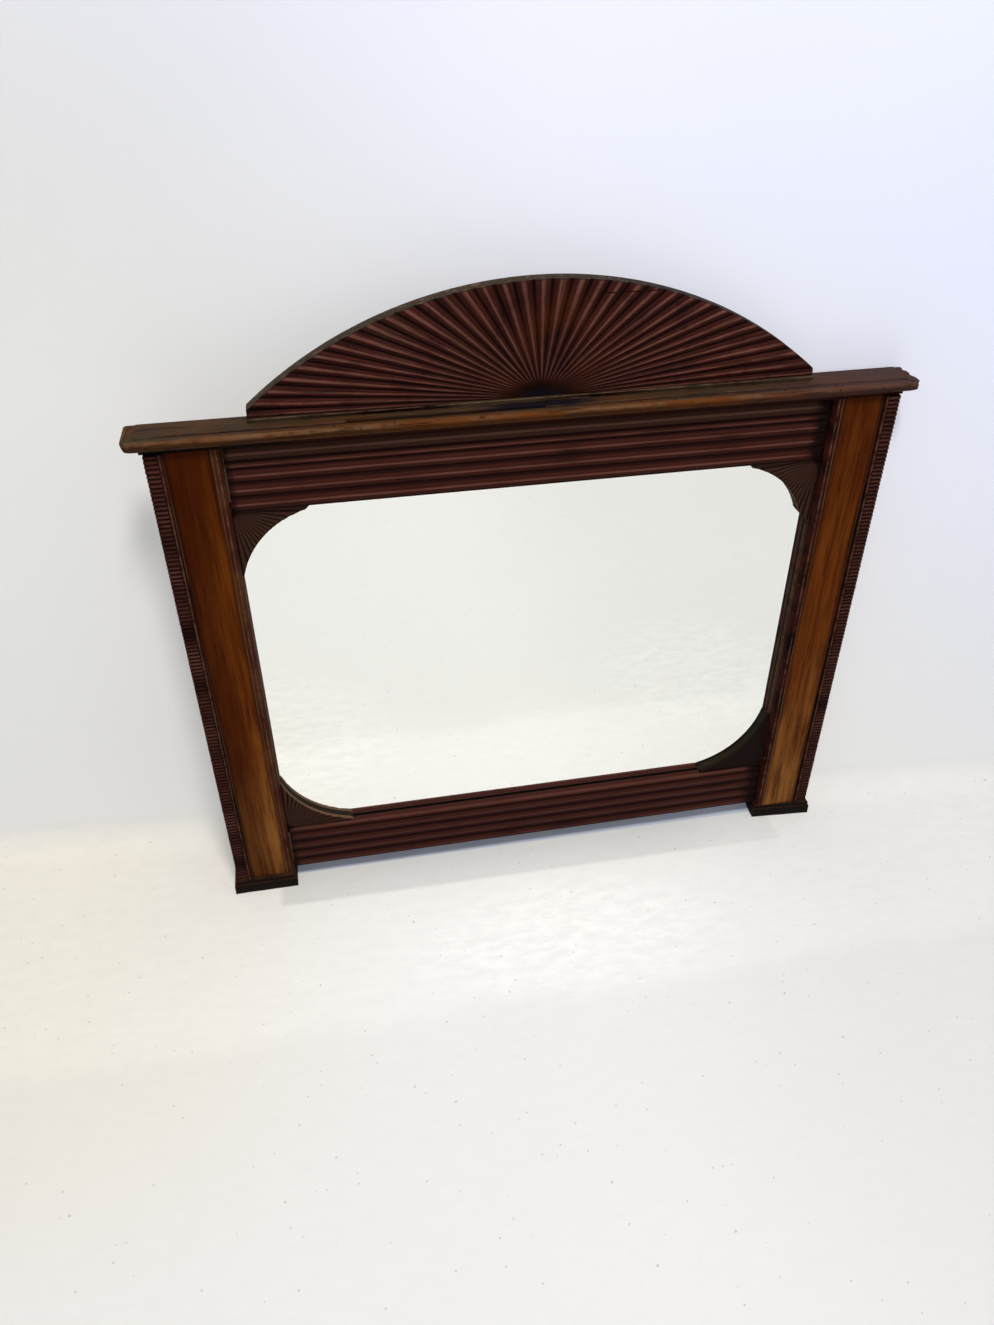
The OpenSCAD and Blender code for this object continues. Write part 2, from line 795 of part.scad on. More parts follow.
module post_left() color(pine) post(-1);
module post_right() color(pine) post(1);
module panel_left() color(veneer) panel(-1);
module panel_right() color(veneer) panel(1);
module ribbed_strip_left() color(dark) ribbed_strip(-1);
module ribbed_strip_right() color(dark) ribbed_strip(1);
module bead_left() color(reed_brown) bead(-1);
module bead_right() color(reed_brown) bead(1);
module inner_edge_left() color(worn) inner_edge(-1);
module inner_edge_right() color(worn) inner_edge(1);
module sight_slip_left() color(olive) sight_slip(-1);
module sight_slip_right() color(olive) sight_slip(1);
module sight_fillet_left() color(olive) sight_fillet_side(-1);
module sight_fillet_right() color(olive) sight_fillet_side(1);
module sight_fillet_top() color(olive) sight_fillet_rail(sight_top_z);
module sight_fillet_bottom() color(olive) sight_fillet_rail(chamber_bottom_z);
module top_rail() color(pine) top_carcass_rail();
module bottom_rail() color(pine) bottom_carcass_rail();
module top_reeding() color(reed_brown) top_reed_facing();
module bottom_reeding() color(reed_brown) bottom_reed_facing();
module rail_bead() color(worn) rail_bead_strip();
module frieze_reed() color(dark) frieze_strip();
module corner_fan_top_left() color(reed_brown) corner_fan(-1, true, top_left_fan);
module corner_fan_top_right() color(reed_brown) corner_fan(1, true, top_right_fan);
module corner_fan_bottom_left() color(reed_brown) corner_fan(-1, false, bottom_left_fan);
module corner_fan_bottom_right() color(reed_brown) corner_plain(1, false, bottom_right_fan);
module corner_block_top_left() color(olive) corner_block(-1, true, top_left_fan);
module corner_block_top_right() color(olive) corner_block(1, true, top_right_fan);
module corner_block_bottom_left() color(olive) corner_block(-1, false, bottom_left_fan);
module corner_block_bottom_right() color(olive) corner_block(1, false, bottom_right_fan);
module bed_board() color(black) bed();
module cornice_board() color(worn) cornice_core();
module cornice_top_board() color(worn) cornice_cover();
module cornice_nose_front() color(worn) nose_front();
module cornice_nose_left() color(worn) nose_return(-1);
module cornice_nose_right() color(worn) nose_return(1);
module pediment_fan() color(reed_brown) sunburst();
module pediment_fillet() color(olive) fan_fillet();
module foot_left_upper() color(black) foot_upper(-1);
module foot_left_lower() color(black) foot_lower(-1);
module foot_right_upper() color(black) foot_upper(1);
module foot_right_lower() color(black) foot_lower(1);
module mirror_glass() color([0.86, 0.89, 0.90]) glass();
module packing_sheet() color([0.55, 0.45, 0.33]) sheet();
module backboard_top() color(pine) backboard(2);
module backboard_middle() color(pine) backboard(1);
module backboard_bottom() color(pine) backboard(0);
module glass_wedges() color(pine) wedges();
module backboard_screws() color(steel) for (side = [-1, 1], row = [0 : 2]) board_screw_set(side, row);
module cornice_screws() color(steel) {
    cornice_screw_set(-1);
    cornice_screw_set(1);
    rail_screw_set();
}
module foot_screws() color(steel) for (side = [-1, 1]) foot_screw_set(side);
module pediment_dowels() color(pine) dowel_set();
module hanger_plate_left() color(steel) hanger_plate(-1);
module hanger_plate_right() color(steel) hanger_plate(1);
module hanger_screws() color(steel) for (side = [-1, 1]) hanger_screw_set(side);

post_left();
post_right();
panel_left();
panel_right();
ribbed_strip_left();
ribbed_strip_right();
bead_left();
bead_right();
inner_edge_left();
inner_edge_right();
sight_slip_left();
sight_slip_right();
sight_fillet_left();
sight_fillet_right();
sight_fillet_top();
sight_fillet_bottom();
top_rail();
bottom_rail();
top_reeding();
bottom_reeding();
rail_bead();
frieze_reed();
corner_fan_top_left();
corner_fan_top_right();
corner_fan_bottom_left();
corner_fan_bottom_right();
corner_block_top_left();
corner_block_top_right();
corner_block_bottom_left();
corner_block_bottom_right();
bed_board();
cornice_board();
cornice_top_board();
cornice_nose_front();
cornice_nose_left();
cornice_nose_right();
pediment_fan();
pediment_fillet();
foot_left_upper();
foot_left_lower();
foot_right_upper();
foot_right_lower();
mirror_glass();
packing_sheet();
backboard_top();
backboard_middle();
backboard_bottom();
glass_wedges();
backboard_screws();
cornice_screws();
foot_screws();
pediment_dowels();
hanger_plate_left();
hanger_plate_right();
hanger_screws();
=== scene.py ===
"""Dresses the overmantel mirror in worn carved wood, veneer and silvered glass, and lights it."""

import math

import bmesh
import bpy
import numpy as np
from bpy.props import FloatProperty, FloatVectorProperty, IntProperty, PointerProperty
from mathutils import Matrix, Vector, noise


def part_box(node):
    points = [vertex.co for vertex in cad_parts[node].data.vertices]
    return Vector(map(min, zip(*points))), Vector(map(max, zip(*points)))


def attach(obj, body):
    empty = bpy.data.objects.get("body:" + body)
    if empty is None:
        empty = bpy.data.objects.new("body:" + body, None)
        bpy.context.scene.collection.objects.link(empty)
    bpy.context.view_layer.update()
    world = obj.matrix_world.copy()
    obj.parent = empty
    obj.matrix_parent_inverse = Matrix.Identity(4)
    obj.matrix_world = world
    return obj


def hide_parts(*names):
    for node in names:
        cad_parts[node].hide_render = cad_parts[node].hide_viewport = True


bl_info = {
    "name": "Overmantel Mirror",
    "version": (1, 0, 0),
    "blender": (4, 5, 0),
    "location": "3D View > Sidebar > Mirror",
    "description": "Carves, veneers and wears an overmantel mirror round its plain model",
    "category": "Object",
}

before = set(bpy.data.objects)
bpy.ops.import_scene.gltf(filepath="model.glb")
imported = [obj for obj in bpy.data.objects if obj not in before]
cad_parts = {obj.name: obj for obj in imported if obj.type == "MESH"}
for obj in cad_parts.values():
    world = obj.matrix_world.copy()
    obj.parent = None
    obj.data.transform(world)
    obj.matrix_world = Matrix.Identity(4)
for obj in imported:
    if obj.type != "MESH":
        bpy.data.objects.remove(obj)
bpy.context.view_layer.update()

MM = 0.001
BODY = "root"

# Spacing of the points along a moulding
SPACING = 4 * MM

# Length over which a reeded facing rounds off at its ends
END_ROUND = 1.2 * MM

SIDES = ("left", "right")

# Colours of single spots: soot at the fan's focus, dust at the cornice's right end, rust on the steel,
# the plain corner plate, darkened as painted shade, and the blocks under the corner plates
SOOT = (0.0045, 0.0038, 0.0085)
DUSTY = (0.055, 0.026, 0.027)
RUST = (0.09, 0.045, 0.02)
SHADED_PLAIN_PLATE = (0.0080, 0.0042, 0.0042)
BLOCKS = (0.016, 0.014, 0.008)

# Tint of the woods' dull shine
WARM = (1.0, 0.62, 0.42, 1.0)

# Places along the mirror, from its middle: the ends of the rails, darkened there as soiling and painted
# shade by the posts, and the small dark nicks on top of the cornice
RAIL_RIGHT_END = (0.374, 0.394)
RAIL_LEFT_END = (0.394, 0.403)
CUTS = (-0.265, 0.130, 0.175, 0.223, 0.328, 0.400)

# The crack in the pediment, from the reeds' focus: (across, up) at its two ends
CRACK = ((0.070, 0.127), (0.161, 0.127))

# How deep in the reveal the painted shade beside the glass starts
REVEAL_SHADE = 0.007

# A veneered panel: its middle and its dark outer part from the mirror's middle, and then its dirty hem
# and its pale edge, worn and painted as a highlight, from its own middle
PANEL_MIDDLE = 0.4478
PANEL_SHADE = (0.424, 0.462)
PANEL_HEM = (0.0225, 0.0275)
PANEL_EDGE = (0.0283, 0.0290)

# The cornice, from the front of the board in it: the dark joint, the fine lit line, and how far up and
# out the orange-brown band starts
JOINT_OUT = 0.0006
LIT_OUT = 0.0100
BAND_OUT = (0.0095, 0.0110)
BAND_BELOW_TOP = (0.0150, 0.0125)

# Where the nose's right end is broken, and over what length it gets ragged
BREAK_FROM = 0.488
BREAK_OVER = 0.02

# Each corner piece: leg along the rail, leg along the post, then the centre and radius of its sweep
CORNERS = {
    "top_left": (0.102, 0.101, 0.1275, 0.1345, 0.1305),
    "top_right": (0.106, 0.101, 0.1295, 0.123, 0.120),
    "bottom_left": (0.107, 0.098, 0.1335, 0.140, 0.139),
}

# Patches of light on the floor, as (across, along, half width, half depth): one that the camera sees,
# and two that only the glass shows
POOL = (0.02, -0.21, 0.30, 0.14)
GLASS_POOLS = ((-0.42, -0.34, 0.26, 0.24), (0.46, -0.42, 0.26, 0.24))

# The shade under the bottom rail: where the feet end it, and where on the floor, going towards the
# wall, the half shade and then the full shadow set in
BETWEEN_FEET = (0.44, 0.425)
HALF_SHADE_EDGE = (-0.073, -0.063)
SHADOW_EDGE = (-0.0005, 0.0035)

# The room: radius of the turn between floor and wall, how far they reach from the mirror, and where
# the floor stops following the wall
TURN = 0.05
FLOOR_REACH = 6.0
WALL_REACH = 4.0
FLOOR_FIXED = 2.0

# The photograph's viewpoint, worked out from the mirror's straight edges; the lens in millimetres
EYE = (-0.28475, -1.2288, 1.3154)
AHEAD = (0.14621, 0.79306, -0.59133)
ABOVE = (0.11334, 0.58039, 0.80641)
LENS = 27.74
SENSOR = 36

# The lamps: place, target and size
WINDOW_LAMP = ((0.0, -1.6, 3.4), (0.0, 0.0, 0.3), 0.5)
SIDE_LAMP = ((2.6, -1.6, 1.8), (0.0, 0.0, 0.4), 1.6)
LAMP_TINT = (1.0, 0.975, 0.935)
SKY_TINT = (0.88, 0.92, 1.0)


# Settings that a user would change


def amount(name, description, default, **limits):
    return FloatProperty(name=name, description=description, default=default, **limits)


def length(name, description, millimetres):
    return amount(name, description, millimetres * MM, min=0, unit="LENGTH", precision=5)


def number(name, description, default):
    return IntProperty(name=name, description=description, default=default, min=3)


def colour(name, description, rgb):
    return FloatVectorProperty(
        name=name, description=description, default=rgb, size=3, min=0, max=1, subtype="COLOR"
    )


class MirrorCarving(bpy.types.PropertyGroup):
    """Sizes of the carving and of the wear on it."""

    fan_reeds: number("Pediment reeds", "Reeds that meet the curved edge", 33)
    corner_reeds: number("Corner reeds", "Reeds on a carved corner plate", 14)
    roundness: amount("Reed roundness", "Radius of a fan's reed, in half widths", 1.7, min=1.05)
    fan_end: length("Pediment end", "Height of the pediment's upright ends", 15)
    fan_focus: length("Pediment focus", "Height of the reeds' meeting point over the cornice", 4)
    shoulder: length("Corner shoulder", "Slant at the ends of a corner piece", 10)
    rail_reed: length("Rail reed", "Height of one reed on the rails", 20)
    rail_reed_depth: length("Rail reed depth", "Depth of the grooves between the rails' reeds", 3.5)
    bottom_cap: length("Bottom cap", "Height of the flat cap over the bottom reeds", 5.5)
    bottom_cut: length("Bottom reed cut", "Height cut away from the lowest reed", 4.5)
    nose_lip: length("Nose lip", "Height of the upright lip over the nose's slanting face", 4.5)
    nose_arris: length("Nose arris", "Round on the nose's top arris", 4)
    nose_round: length("Nose round", "Radius of the nose's slanting face", 24)
    corner_round: length("Cornice corners", "Radius of the cornice's worn front corners", 16)
    shadow_groove: length("Shadow groove", "Gap between a reeded facing and the sight fillet", 2)
    rib_pitch: length("Rib spacing", "Spacing of the small ribs on the posts", 6.2)
    rib_depth: length("Rib depth", "Depth of the grooves between the small ribs", 1.5)
    arris: length("Worn arris", "Round worn on the edges of the mouldings", 0.7)
    dent: length("Dents", "Depth of the unevenness left by wear", 0.25)
    foot_skew: length("Foot skew", "How far the right foot's inner front corner is set back", 8)
    foot_step: length("Foot groove depth", "Depth of the groove between a foot's tiers", 2)
    foot_groove: length("Foot groove height", "Height of the groove between a foot's tiers", 1.5)
    splinter_from: amount("Splinter from", "Left end of the lost splinter", -0.253, unit="LENGTH")
    splinter_to: amount("Splinter to", "Right end of the lost splinter", 0.005, unit="LENGTH")
    splinter_depth: length("Splinter depth", "Depth of the lost splinter", 9)


class MirrorFinishes(bpy.types.PropertyGroup):
    """Colours of the woods, the glass and the metal."""

    stain: colour("Stain", "Dark red-brown stain of the carving", (0.041, 0.0090, 0.0070))
    # Rubbed crest: worn stain and painted highlight on the crests and arrises
    rubbed_highlight: colour("Rubbed crest", "Where the stain is rubbed on the crests", (0.150, 0.058, 0.044))
    # Grime: soiling in grooves, joints and pores, and painted shade in the grooves, beside the glass
    # and at the rails' ends
    grime_and_shade: colour("Grime", "Dirt in the grooves", (0.0055, 0.0020, 0.0022))
    veneer: colour("Veneer", "Orange-brown veneer of the posts", (0.135, 0.033, 0.0035))
    veneer_dark: colour("Veneer shade", "Darker figure in the veneer", (0.040, 0.0058, 0.0008))
    veneer_pale: colour("Veneer, faded", "Paler veneer near the feet", (0.250, 0.096, 0.021))
    worn: colour("Worn brown", "Brown of the cornice", (0.072, 0.027, 0.009))
    olive: colour("Olive", "Grey-green brown where the polish has gone", (0.042, 0.029, 0.017))
    bare: colour("Bare wood", "Pale wood in scuffs and chips", (0.26, 0.15, 0.080))
    # Black stain: black of the feet, the bed board and the pediment's rim, and painted shade beside the
    # glass and on the bed board's left part
    black_stain_and_shade: colour("Black stain", "Near-black feet and bed board", (0.0085, 0.0064, 0.0058))
    softwood: colour("Softwood", "Unfinished wood of the back", (0.36, 0.22, 0.11))
    card: colour("Card", "Packing sheet", (0.20, 0.14, 0.08))
    steel: colour("Steel", "Screws and hanger plates", (0.42, 0.41, 0.40))
    silver: colour("Silvering", "Reflection of the glass", (0.965, 0.975, 0.940))


class MirrorRoom(bpy.types.PropertyGroup):
    """The pale room that the mirror stands in."""

    floor: colour("Floor", "Painted floor", (0.62, 0.613, 0.594))
    floor_warm: colour("Warm floor", "Painted floor at the left", (0.63, 0.60, 0.535))
    wall: colour("Wall", "Painted wall at the left", (0.66, 0.66, 0.65))
    # Far wall: painted light, bluer at the top right
    wall_top_right_light: colour("Far wall", "Painted wall at the top right", (0.605, 0.625, 0.75))
    shadow: colour("Floor shadow", "Floor in the shadow between the feet", (0.42, 0.48, 0.62))
    wall_gap: length("Wall gap", "Distance from the middle of the mirror to the wall", 79)
    wall_turn: amount("Wall turn", "Slope of the wall, nearer at the right", 0.085)
    shine: amount("Shine", "Glow of the paint as the camera sees it", 0.40, min=0)
    glow: amount("Sky light", "Strength of the soft light all round", 0.42, min=0)
    window: amount("Window light", "Power of the lamp over the front, in watts", 80, min=0)
    fill: amount("Side light", "Power of the soft lamp at the right, in watts", 10, min=0)


# Shader maths: a socket with Python's arithmetic on it


class Value:
    """A node's output. Each operation on it adds a Math node to the same finish."""

    def __init__(self, finish, socket):
        self.finish = finish
        self.socket = socket

    def math(self, operation, *values):
        inputs = dict(enumerate(values))
        return self.finish.node("ShaderNodeMath", {"operation": operation}, inputs)

    def __add__(self, other):
        return self.math("ADD", self, other)

    __radd__ = __add__

    def __sub__(self, other):
        return self.math("SUBTRACT", self, other)

    def __rsub__(self, other):
        return self.math("SUBTRACT", other, self)

    def __mul__(self, other):
        return self.math("MULTIPLY", self, other)

    __rmul__ = __mul__

    def __truediv__(self, other):
        return self.math("DIVIDE", self, other)

    def __pow__(self, other):
        return self.math("POWER", self, other)

    def absolute(self):
        return self.math("ABSOLUTE", self)

    def highest(self, other):
        return self.math("MAXIMUM", self, other)

    def step(self, low, high):
        """0 below low, 1 above high, and smooth between. With low above high it falls instead."""
        settings = {"interpolation_type": "SMOOTHSTEP"}
        inputs = {"Value": self, "From Min": min(low, high), "From Max": max(low, high)}
        inputs.update({"To Min": float(low > high), "To Max": float(low <= high)})
        return self.finish.node("ShaderNodeMapRange", settings, inputs)


class Finish:
    """A material that is being put together."""

    def __init__(self, name, **fixed):
        self.material = bpy.data.materials.new(name)
        self.material.use_nodes = True
        self.nodes = self.material.node_tree.nodes
        self.links = self.material.node_tree.links
        self.shader = self.nodes["Principled BSDF"]
        for socket, value in fixed.items():
            self.shader.inputs[socket.replace("_", " ")].default_value = value
        self.place = self.node("ShaderNodeTexCoord", output="Object")
        axes = self.node("ShaderNodeSeparateXYZ", {}, {"Vector": self.place}).socket.node
        self.x, self.y, self.z = (Value(self, axes.outputs[axis]) for axis in "XYZ")

    def node(self, kind, settings=None, inputs=None, output=0):
        """Adds a node: its settings first, then the values or links of its sockets."""
        node = self.nodes.new(kind)
        for key, value in (settings or {}).items():
            setattr(node, key, value)
        for key, value in (inputs or {}).items():
            self.feed(node.inputs[key], value)
        return Value(self, node.outputs[output])

    def feed(self, socket, value):
        if isinstance(value, Value):
            self.links.new(value.socket, socket)
        elif hasattr(value, "__len__") and len(value) == 3 and socket.type == "RGBA":
            socket.default_value = (*value, 1)
        else:
            socket.default_value = value

    def mix(self, low, high, mask):
        """One colour into another by a mask."""
        settings = {"data_type": "RGBA", "clamp_factor": True}
        return self.node("ShaderNodeMix", settings, {0: mask, 6: low, 7: high}, output=2)

    def shade(self, tint, share):
        """A colour multiplied by a value."""
        settings = {"operation": "SCALE"}
        return self.node("ShaderNodeVectorMath", settings, {0: tint, "Scale": share})

    def stretched(self, x, y, z):
        """The place on the object, in stretched metres."""
        settings = {"operation": "MULTIPLY"}
        return self.node("ShaderNodeVectorMath", settings, {0: self.place, 1: (x, y, z)})

    def cloud(self, x, y, z, detail=3.0, rough=0.55, shift=0.0):
        """Soft noise from 0 to 1, with that many lumps a metre along each axis."""
        at = {0: self.stretched(x, y, z), 1: (shift, shift, shift)}
        moved = self.node("ShaderNodeVectorMath", {"operation": "ADD"}, at)
        return self.noise(moved, detail, rough)

    def noise(self, place, detail, rough):
        """Soft noise from 0 to 1 at a place."""
        inputs = {"Vector": place, "Scale": 1.0, "Detail": detail, "Roughness": rough}
        return self.node("ShaderNodeTexNoise", {}, inputs)

    def uneven(self, lumps, size, shift=0.0):
        """A length from about -size / 2 to size / 2 that wanders, with that many lumps a metre."""
        return (self.cloud(lumps, lumps, lumps, shift=shift) - 0.5) * size

    def mark(self, name):
        """A number kept at each corner of a piece's mesh."""
        return self.node("ShaderNodeAttribute", {"attribute_name": name}, output="Fac")

    def paint(self, **channels):
        for name, value in channels.items():
            self.feed(self.shader.inputs[name.replace("_", " ")], value)

    def raise_grain(self, height, depth):
        """Bump of that depth in metres."""
        inputs = {"Height": height, "Distance": depth, "Strength": 1.0}
        self.paint(Normal=self.node("ShaderNodeBump", {}, inputs))


# Finishes


def carved_finish(finishes, name, grain, shift=0.0, dull=0.0, rub=1.0, groove_darkening=1.0):
    """Dark red-brown stain. Rub lightens its crests as wear and painted highlight, its grooves darken
    as soiling and painted shade, and dull adds olive.
    """
    f = Finish(name, Specular_IOR_Level=0.05, Specular_Tint=WARM)
    fine = f.cloud(*grain, detail=4, rough=0.68, shift=shift)
    patch = f.cloud(13, 13, 18, detail=3, shift=shift + 3)
    crest = f.mark("crest")
    groove = f.mark("groove")
    # Lighter crests: wear and painted highlight
    worn = crest.step(0.35, 1.0) * (0.35 + fine * 0.9) * (0.5 + patch)
    rubbed_highlight = worn.step(0.20, 0.90) * rub
    tint = f.mix(finishes.grime_and_shade, finishes.stain, (fine * 0.7 + patch * 0.4).step(0.30, 0.52))
    tint = f.mix(tint, finishes.rubbed_highlight, rubbed_highlight)
    tint = f.mix(tint, finishes.olive, (patch.step(0.54, 0.72) * 0.25).highest(dull))
    # Darker grooves: soiling and painted shade
    tint = f.mix(tint, finishes.grime_and_shade, (groove * 1.5 - fine * 0.3).step(0.05, 0.70) * groove_darkening)
    speck = f.cloud(420, 420, 420, detail=1, shift=shift).step(0.735, 0.76) * crest.step(0.2, 0.8)
    tint = f.mix(tint, finishes.bare, speck * 0.45)
    f.paint(Base_Color=tint, Roughness=0.40 + fine * 0.3 + groove * 0.2)
    f.raise_grain(fine + speck * 0.6, 0.6 * MM)
    f.tint = tint
    return f


def fan_finish(finishes, focus):
    """The pediment's stain: blue-black soot where the reeds meet, a crack, and a worn rim."""
    f = carved_finish(finishes, "pediment stain", (60, 60, 60))
    tint = f.tint
    across = f.x - focus.x
    up = f.z - focus.z
    reach = (across * across + up * up) ** 0.5
    turn = up.math("ARCTAN2", up, across)
    streak = f.noise(f.node("ShaderNodeCombineXYZ", {}, {0: turn * 70, 1: reach * 9}), 4, 0.65)
    tint = f.mix(tint, finishes.grime_and_shade, streak.step(0.46, 0.62) * 0.65)
    # Light streaks on the crests: wear and painted highlight
    tint = f.mix(tint, finishes.rubbed_highlight, streak.step(0.42, 0.30) * f.mark("crest") * 0.5)
    amber = f.cloud(16, 16, 16, shift=11).step(0.42, 0.66) * across.absolute().step(0.13, 0.02)
    tint = f.mix(tint, finishes.veneer, amber * 0.16)
    low = (across * 0.55) ** 2 + (up * 1.5) ** 2
    sooty = (low ** 0.5 + f.uneven(70, 0.02)).step(0.026, 0.005)
    tint = f.shade(tint, 0.72 + reach.step(0.05, 0.22) * 0.28)
    tint = f.mix(tint, SOOT, sooty * 0.94)
    (left, left_up), (right, right_up) = CRACK
    slope = (right_up - left_up) / (right - left)
    level = left_up + (across - left) * slope
    line = (up - level + f.uneven(45, 6 * MM, 5)).absolute().step(1.2 * MM, 0.4 * MM)
    fade = 4 * MM
    crack = line * across.step(left, left + fade) * across.step(right, right - fade)
    tint = f.mix(tint, finishes.grime_and_shade, crack)
    rim = f.mark("edge")
    tint = f.mix(tint, finishes.black_stain_and_shade, rim.step(0.0, 0.5) * 0.8)
    chipped = f.cloud(120, 120, 120, detail=2, shift=17).step(0.58, 0.66) * rim.step(0.8, 1.0)
    tint = f.mix(tint, finishes.olive, rim.step(0.75, 1.0) * across.step(0.25, -0.10) * 0.75)
    tint = f.mix(tint, finishes.bare, chipped * 0.3)
    f.paint(Base_Color=tint)
    return f


def rail_finish(finishes, name, grain, shift, dull=0.0, rub=1.0):
    """The rails' stain, darker at the right post, a little at the left one, and at the glass: soiling
    and painted shade by the posts, painted shade at the glass.
    """
    f = carved_finish(finishes, name, grain, shift, dull, rub, groove_darkening=0.78)
    # Darker towards both ends by the posts: soiling and painted shade
    wander = f.uneven(60, 0.02, 12)
    right = (f.x + wander).step(*RAIL_RIGHT_END)
    left = (wander - f.x).step(*RAIL_LEFT_END) * 0.7
    tint = f.mix(f.tint, finishes.grime_and_shade, right.highest(left))
    # Near-black band beside the glass: painted shade
    deep = f.y.step(REVEAL_SHADE - 1.2 * MM, REVEAL_SHADE) * 0.9
    f.paint(Base_Color=f.mix(tint, finishes.black_stain_and_shade, deep))
    return f


def veneer_finish(finishes, low, high):
    """Satin veneer with upright figure, redder at the top and paler at the foot."""
    f = Finish("veneer", Specular_IOR_Level=0.035, Specular_Tint=WARM)
    rise = (f.z - low) / (high - low)
    figure = f.cloud(110, 110, 7.0, detail=5, rough=0.7)
    broad = f.cloud(22, 22, 7.0, detail=3, shift=7)
    pores = f.cloud(700, 700, 14, detail=2, shift=2).step(0.54, 0.72)
    over_foot = (rise + (broad - 0.5) * 0.6).step(0.02, 0.50)
    tint = f.mix(finishes.veneer_pale, finishes.veneer, over_foot)
    tint = f.mix(tint, finishes.veneer_dark, (figure * 0.9 + broad * 0.4).step(0.55, 0.82) * 0.70)
    tint = f.mix(tint, finishes.veneer_dark, (rise + (broad - 0.5) * 0.4).step(0.60, 1.15) * 0.75)
    outer_left = (f.x * -1).step(*PANEL_SHADE)
    tint = f.mix(tint, finishes.veneer_dark, outer_left * (0.55 + broad * 0.4))
    hem = (f.x.absolute() - PANEL_MIDDLE).absolute() + (figure - 0.5) * (4 * MM)
    tint = f.mix(tint, finishes.grime_and_shade, hem.step(*PANEL_HEM) * 0.55)
    # Pale edge: worn veneer and painted highlight
    tint = f.mix(tint, finishes.bare, hem.step(*PANEL_EDGE) * broad.step(0.35, 0.6) * 0.30)
    tint = f.mix(tint, finishes.grime_and_shade, pores * 0.55)
    scratch = f.cloud(520, 520, 5, detail=1, shift=9).step(0.72, 0.75) * broad.step(0.45, 0.7)
    tint = f.mix(tint, finishes.bare, scratch * 0.25)
    dull = f.cloud(30, 30, 10, shift=4).step(0.45, 0.75)
    f.paint(Base_Color=tint, Roughness=0.32 + dull * 0.2 + pores * 0.15)
    f.raise_grain(figure * 0.4 - pores + scratch * 0.4, 0.18 * MM)
    return f


def worn_finish(finishes, name, stretch, low, high, shift=0.0):
    """Brown wood with grain along its length, dull olive patches, and pale wood on the arrises as wear
    and painted highlight.
    """
    f = Finish(name, Specular_IOR_Level=0.025, Specular_Tint=WARM)
    grain = f.cloud(*stretch, detail=5, rough=0.68, shift=shift)
    patch = f.cloud(7, 20, 20, detail=3, shift=shift + 5)
    edge = f.mark("edge")
    groove = f.mark("groove")
    tint = f.mix(low, high, (patch * 0.8 + grain * 0.35).step(0.42, 0.72))
    tint = f.mix(tint, finishes.grime_and_shade, (grain.step(0.54, 0.74) * 0.7).highest(groove))
    # Pale arrises: wear and painted highlight
    rubbed_highlight = (edge * (0.3 + f.cloud(60, 90, 90, shift=shift + 8) * 1.2)).step(0.60, 1.0)
    tint = f.mix(tint, finishes.bare, rubbed_highlight * 0.3)
    scuff = f.cloud(25, 140, 140, detail=2, shift=shift + 2).step(0.70, 0.75)
    tint = f.mix(tint, finishes.bare, scuff * 0.3)
    f.paint(Base_Color=tint, Roughness=0.45 + grain * 0.25)
    f.raise_grain(grain - scuff * 0.5, 0.3 * MM)
    f.tint = tint
    return f


def reveal_finish(finishes, name, stretch, shift):
    """The sides of the reveal: olive brown with a pale arris, and darkened beside the glass as painted
    shade.
    """
    f = worn_finish(finishes, name, stretch, finishes.stain, finishes.olive, shift)
    # Dark band beside the glass: painted shade
    deep = (f.y + f.uneven(30, 2 * MM, shift)).step(REVEAL_SHADE, REVEAL_SHADE + 2 * MM)
    f.paint(Base_Color=f.mix(f.tint, finishes.grime_and_shade, deep * 0.9))
    return f


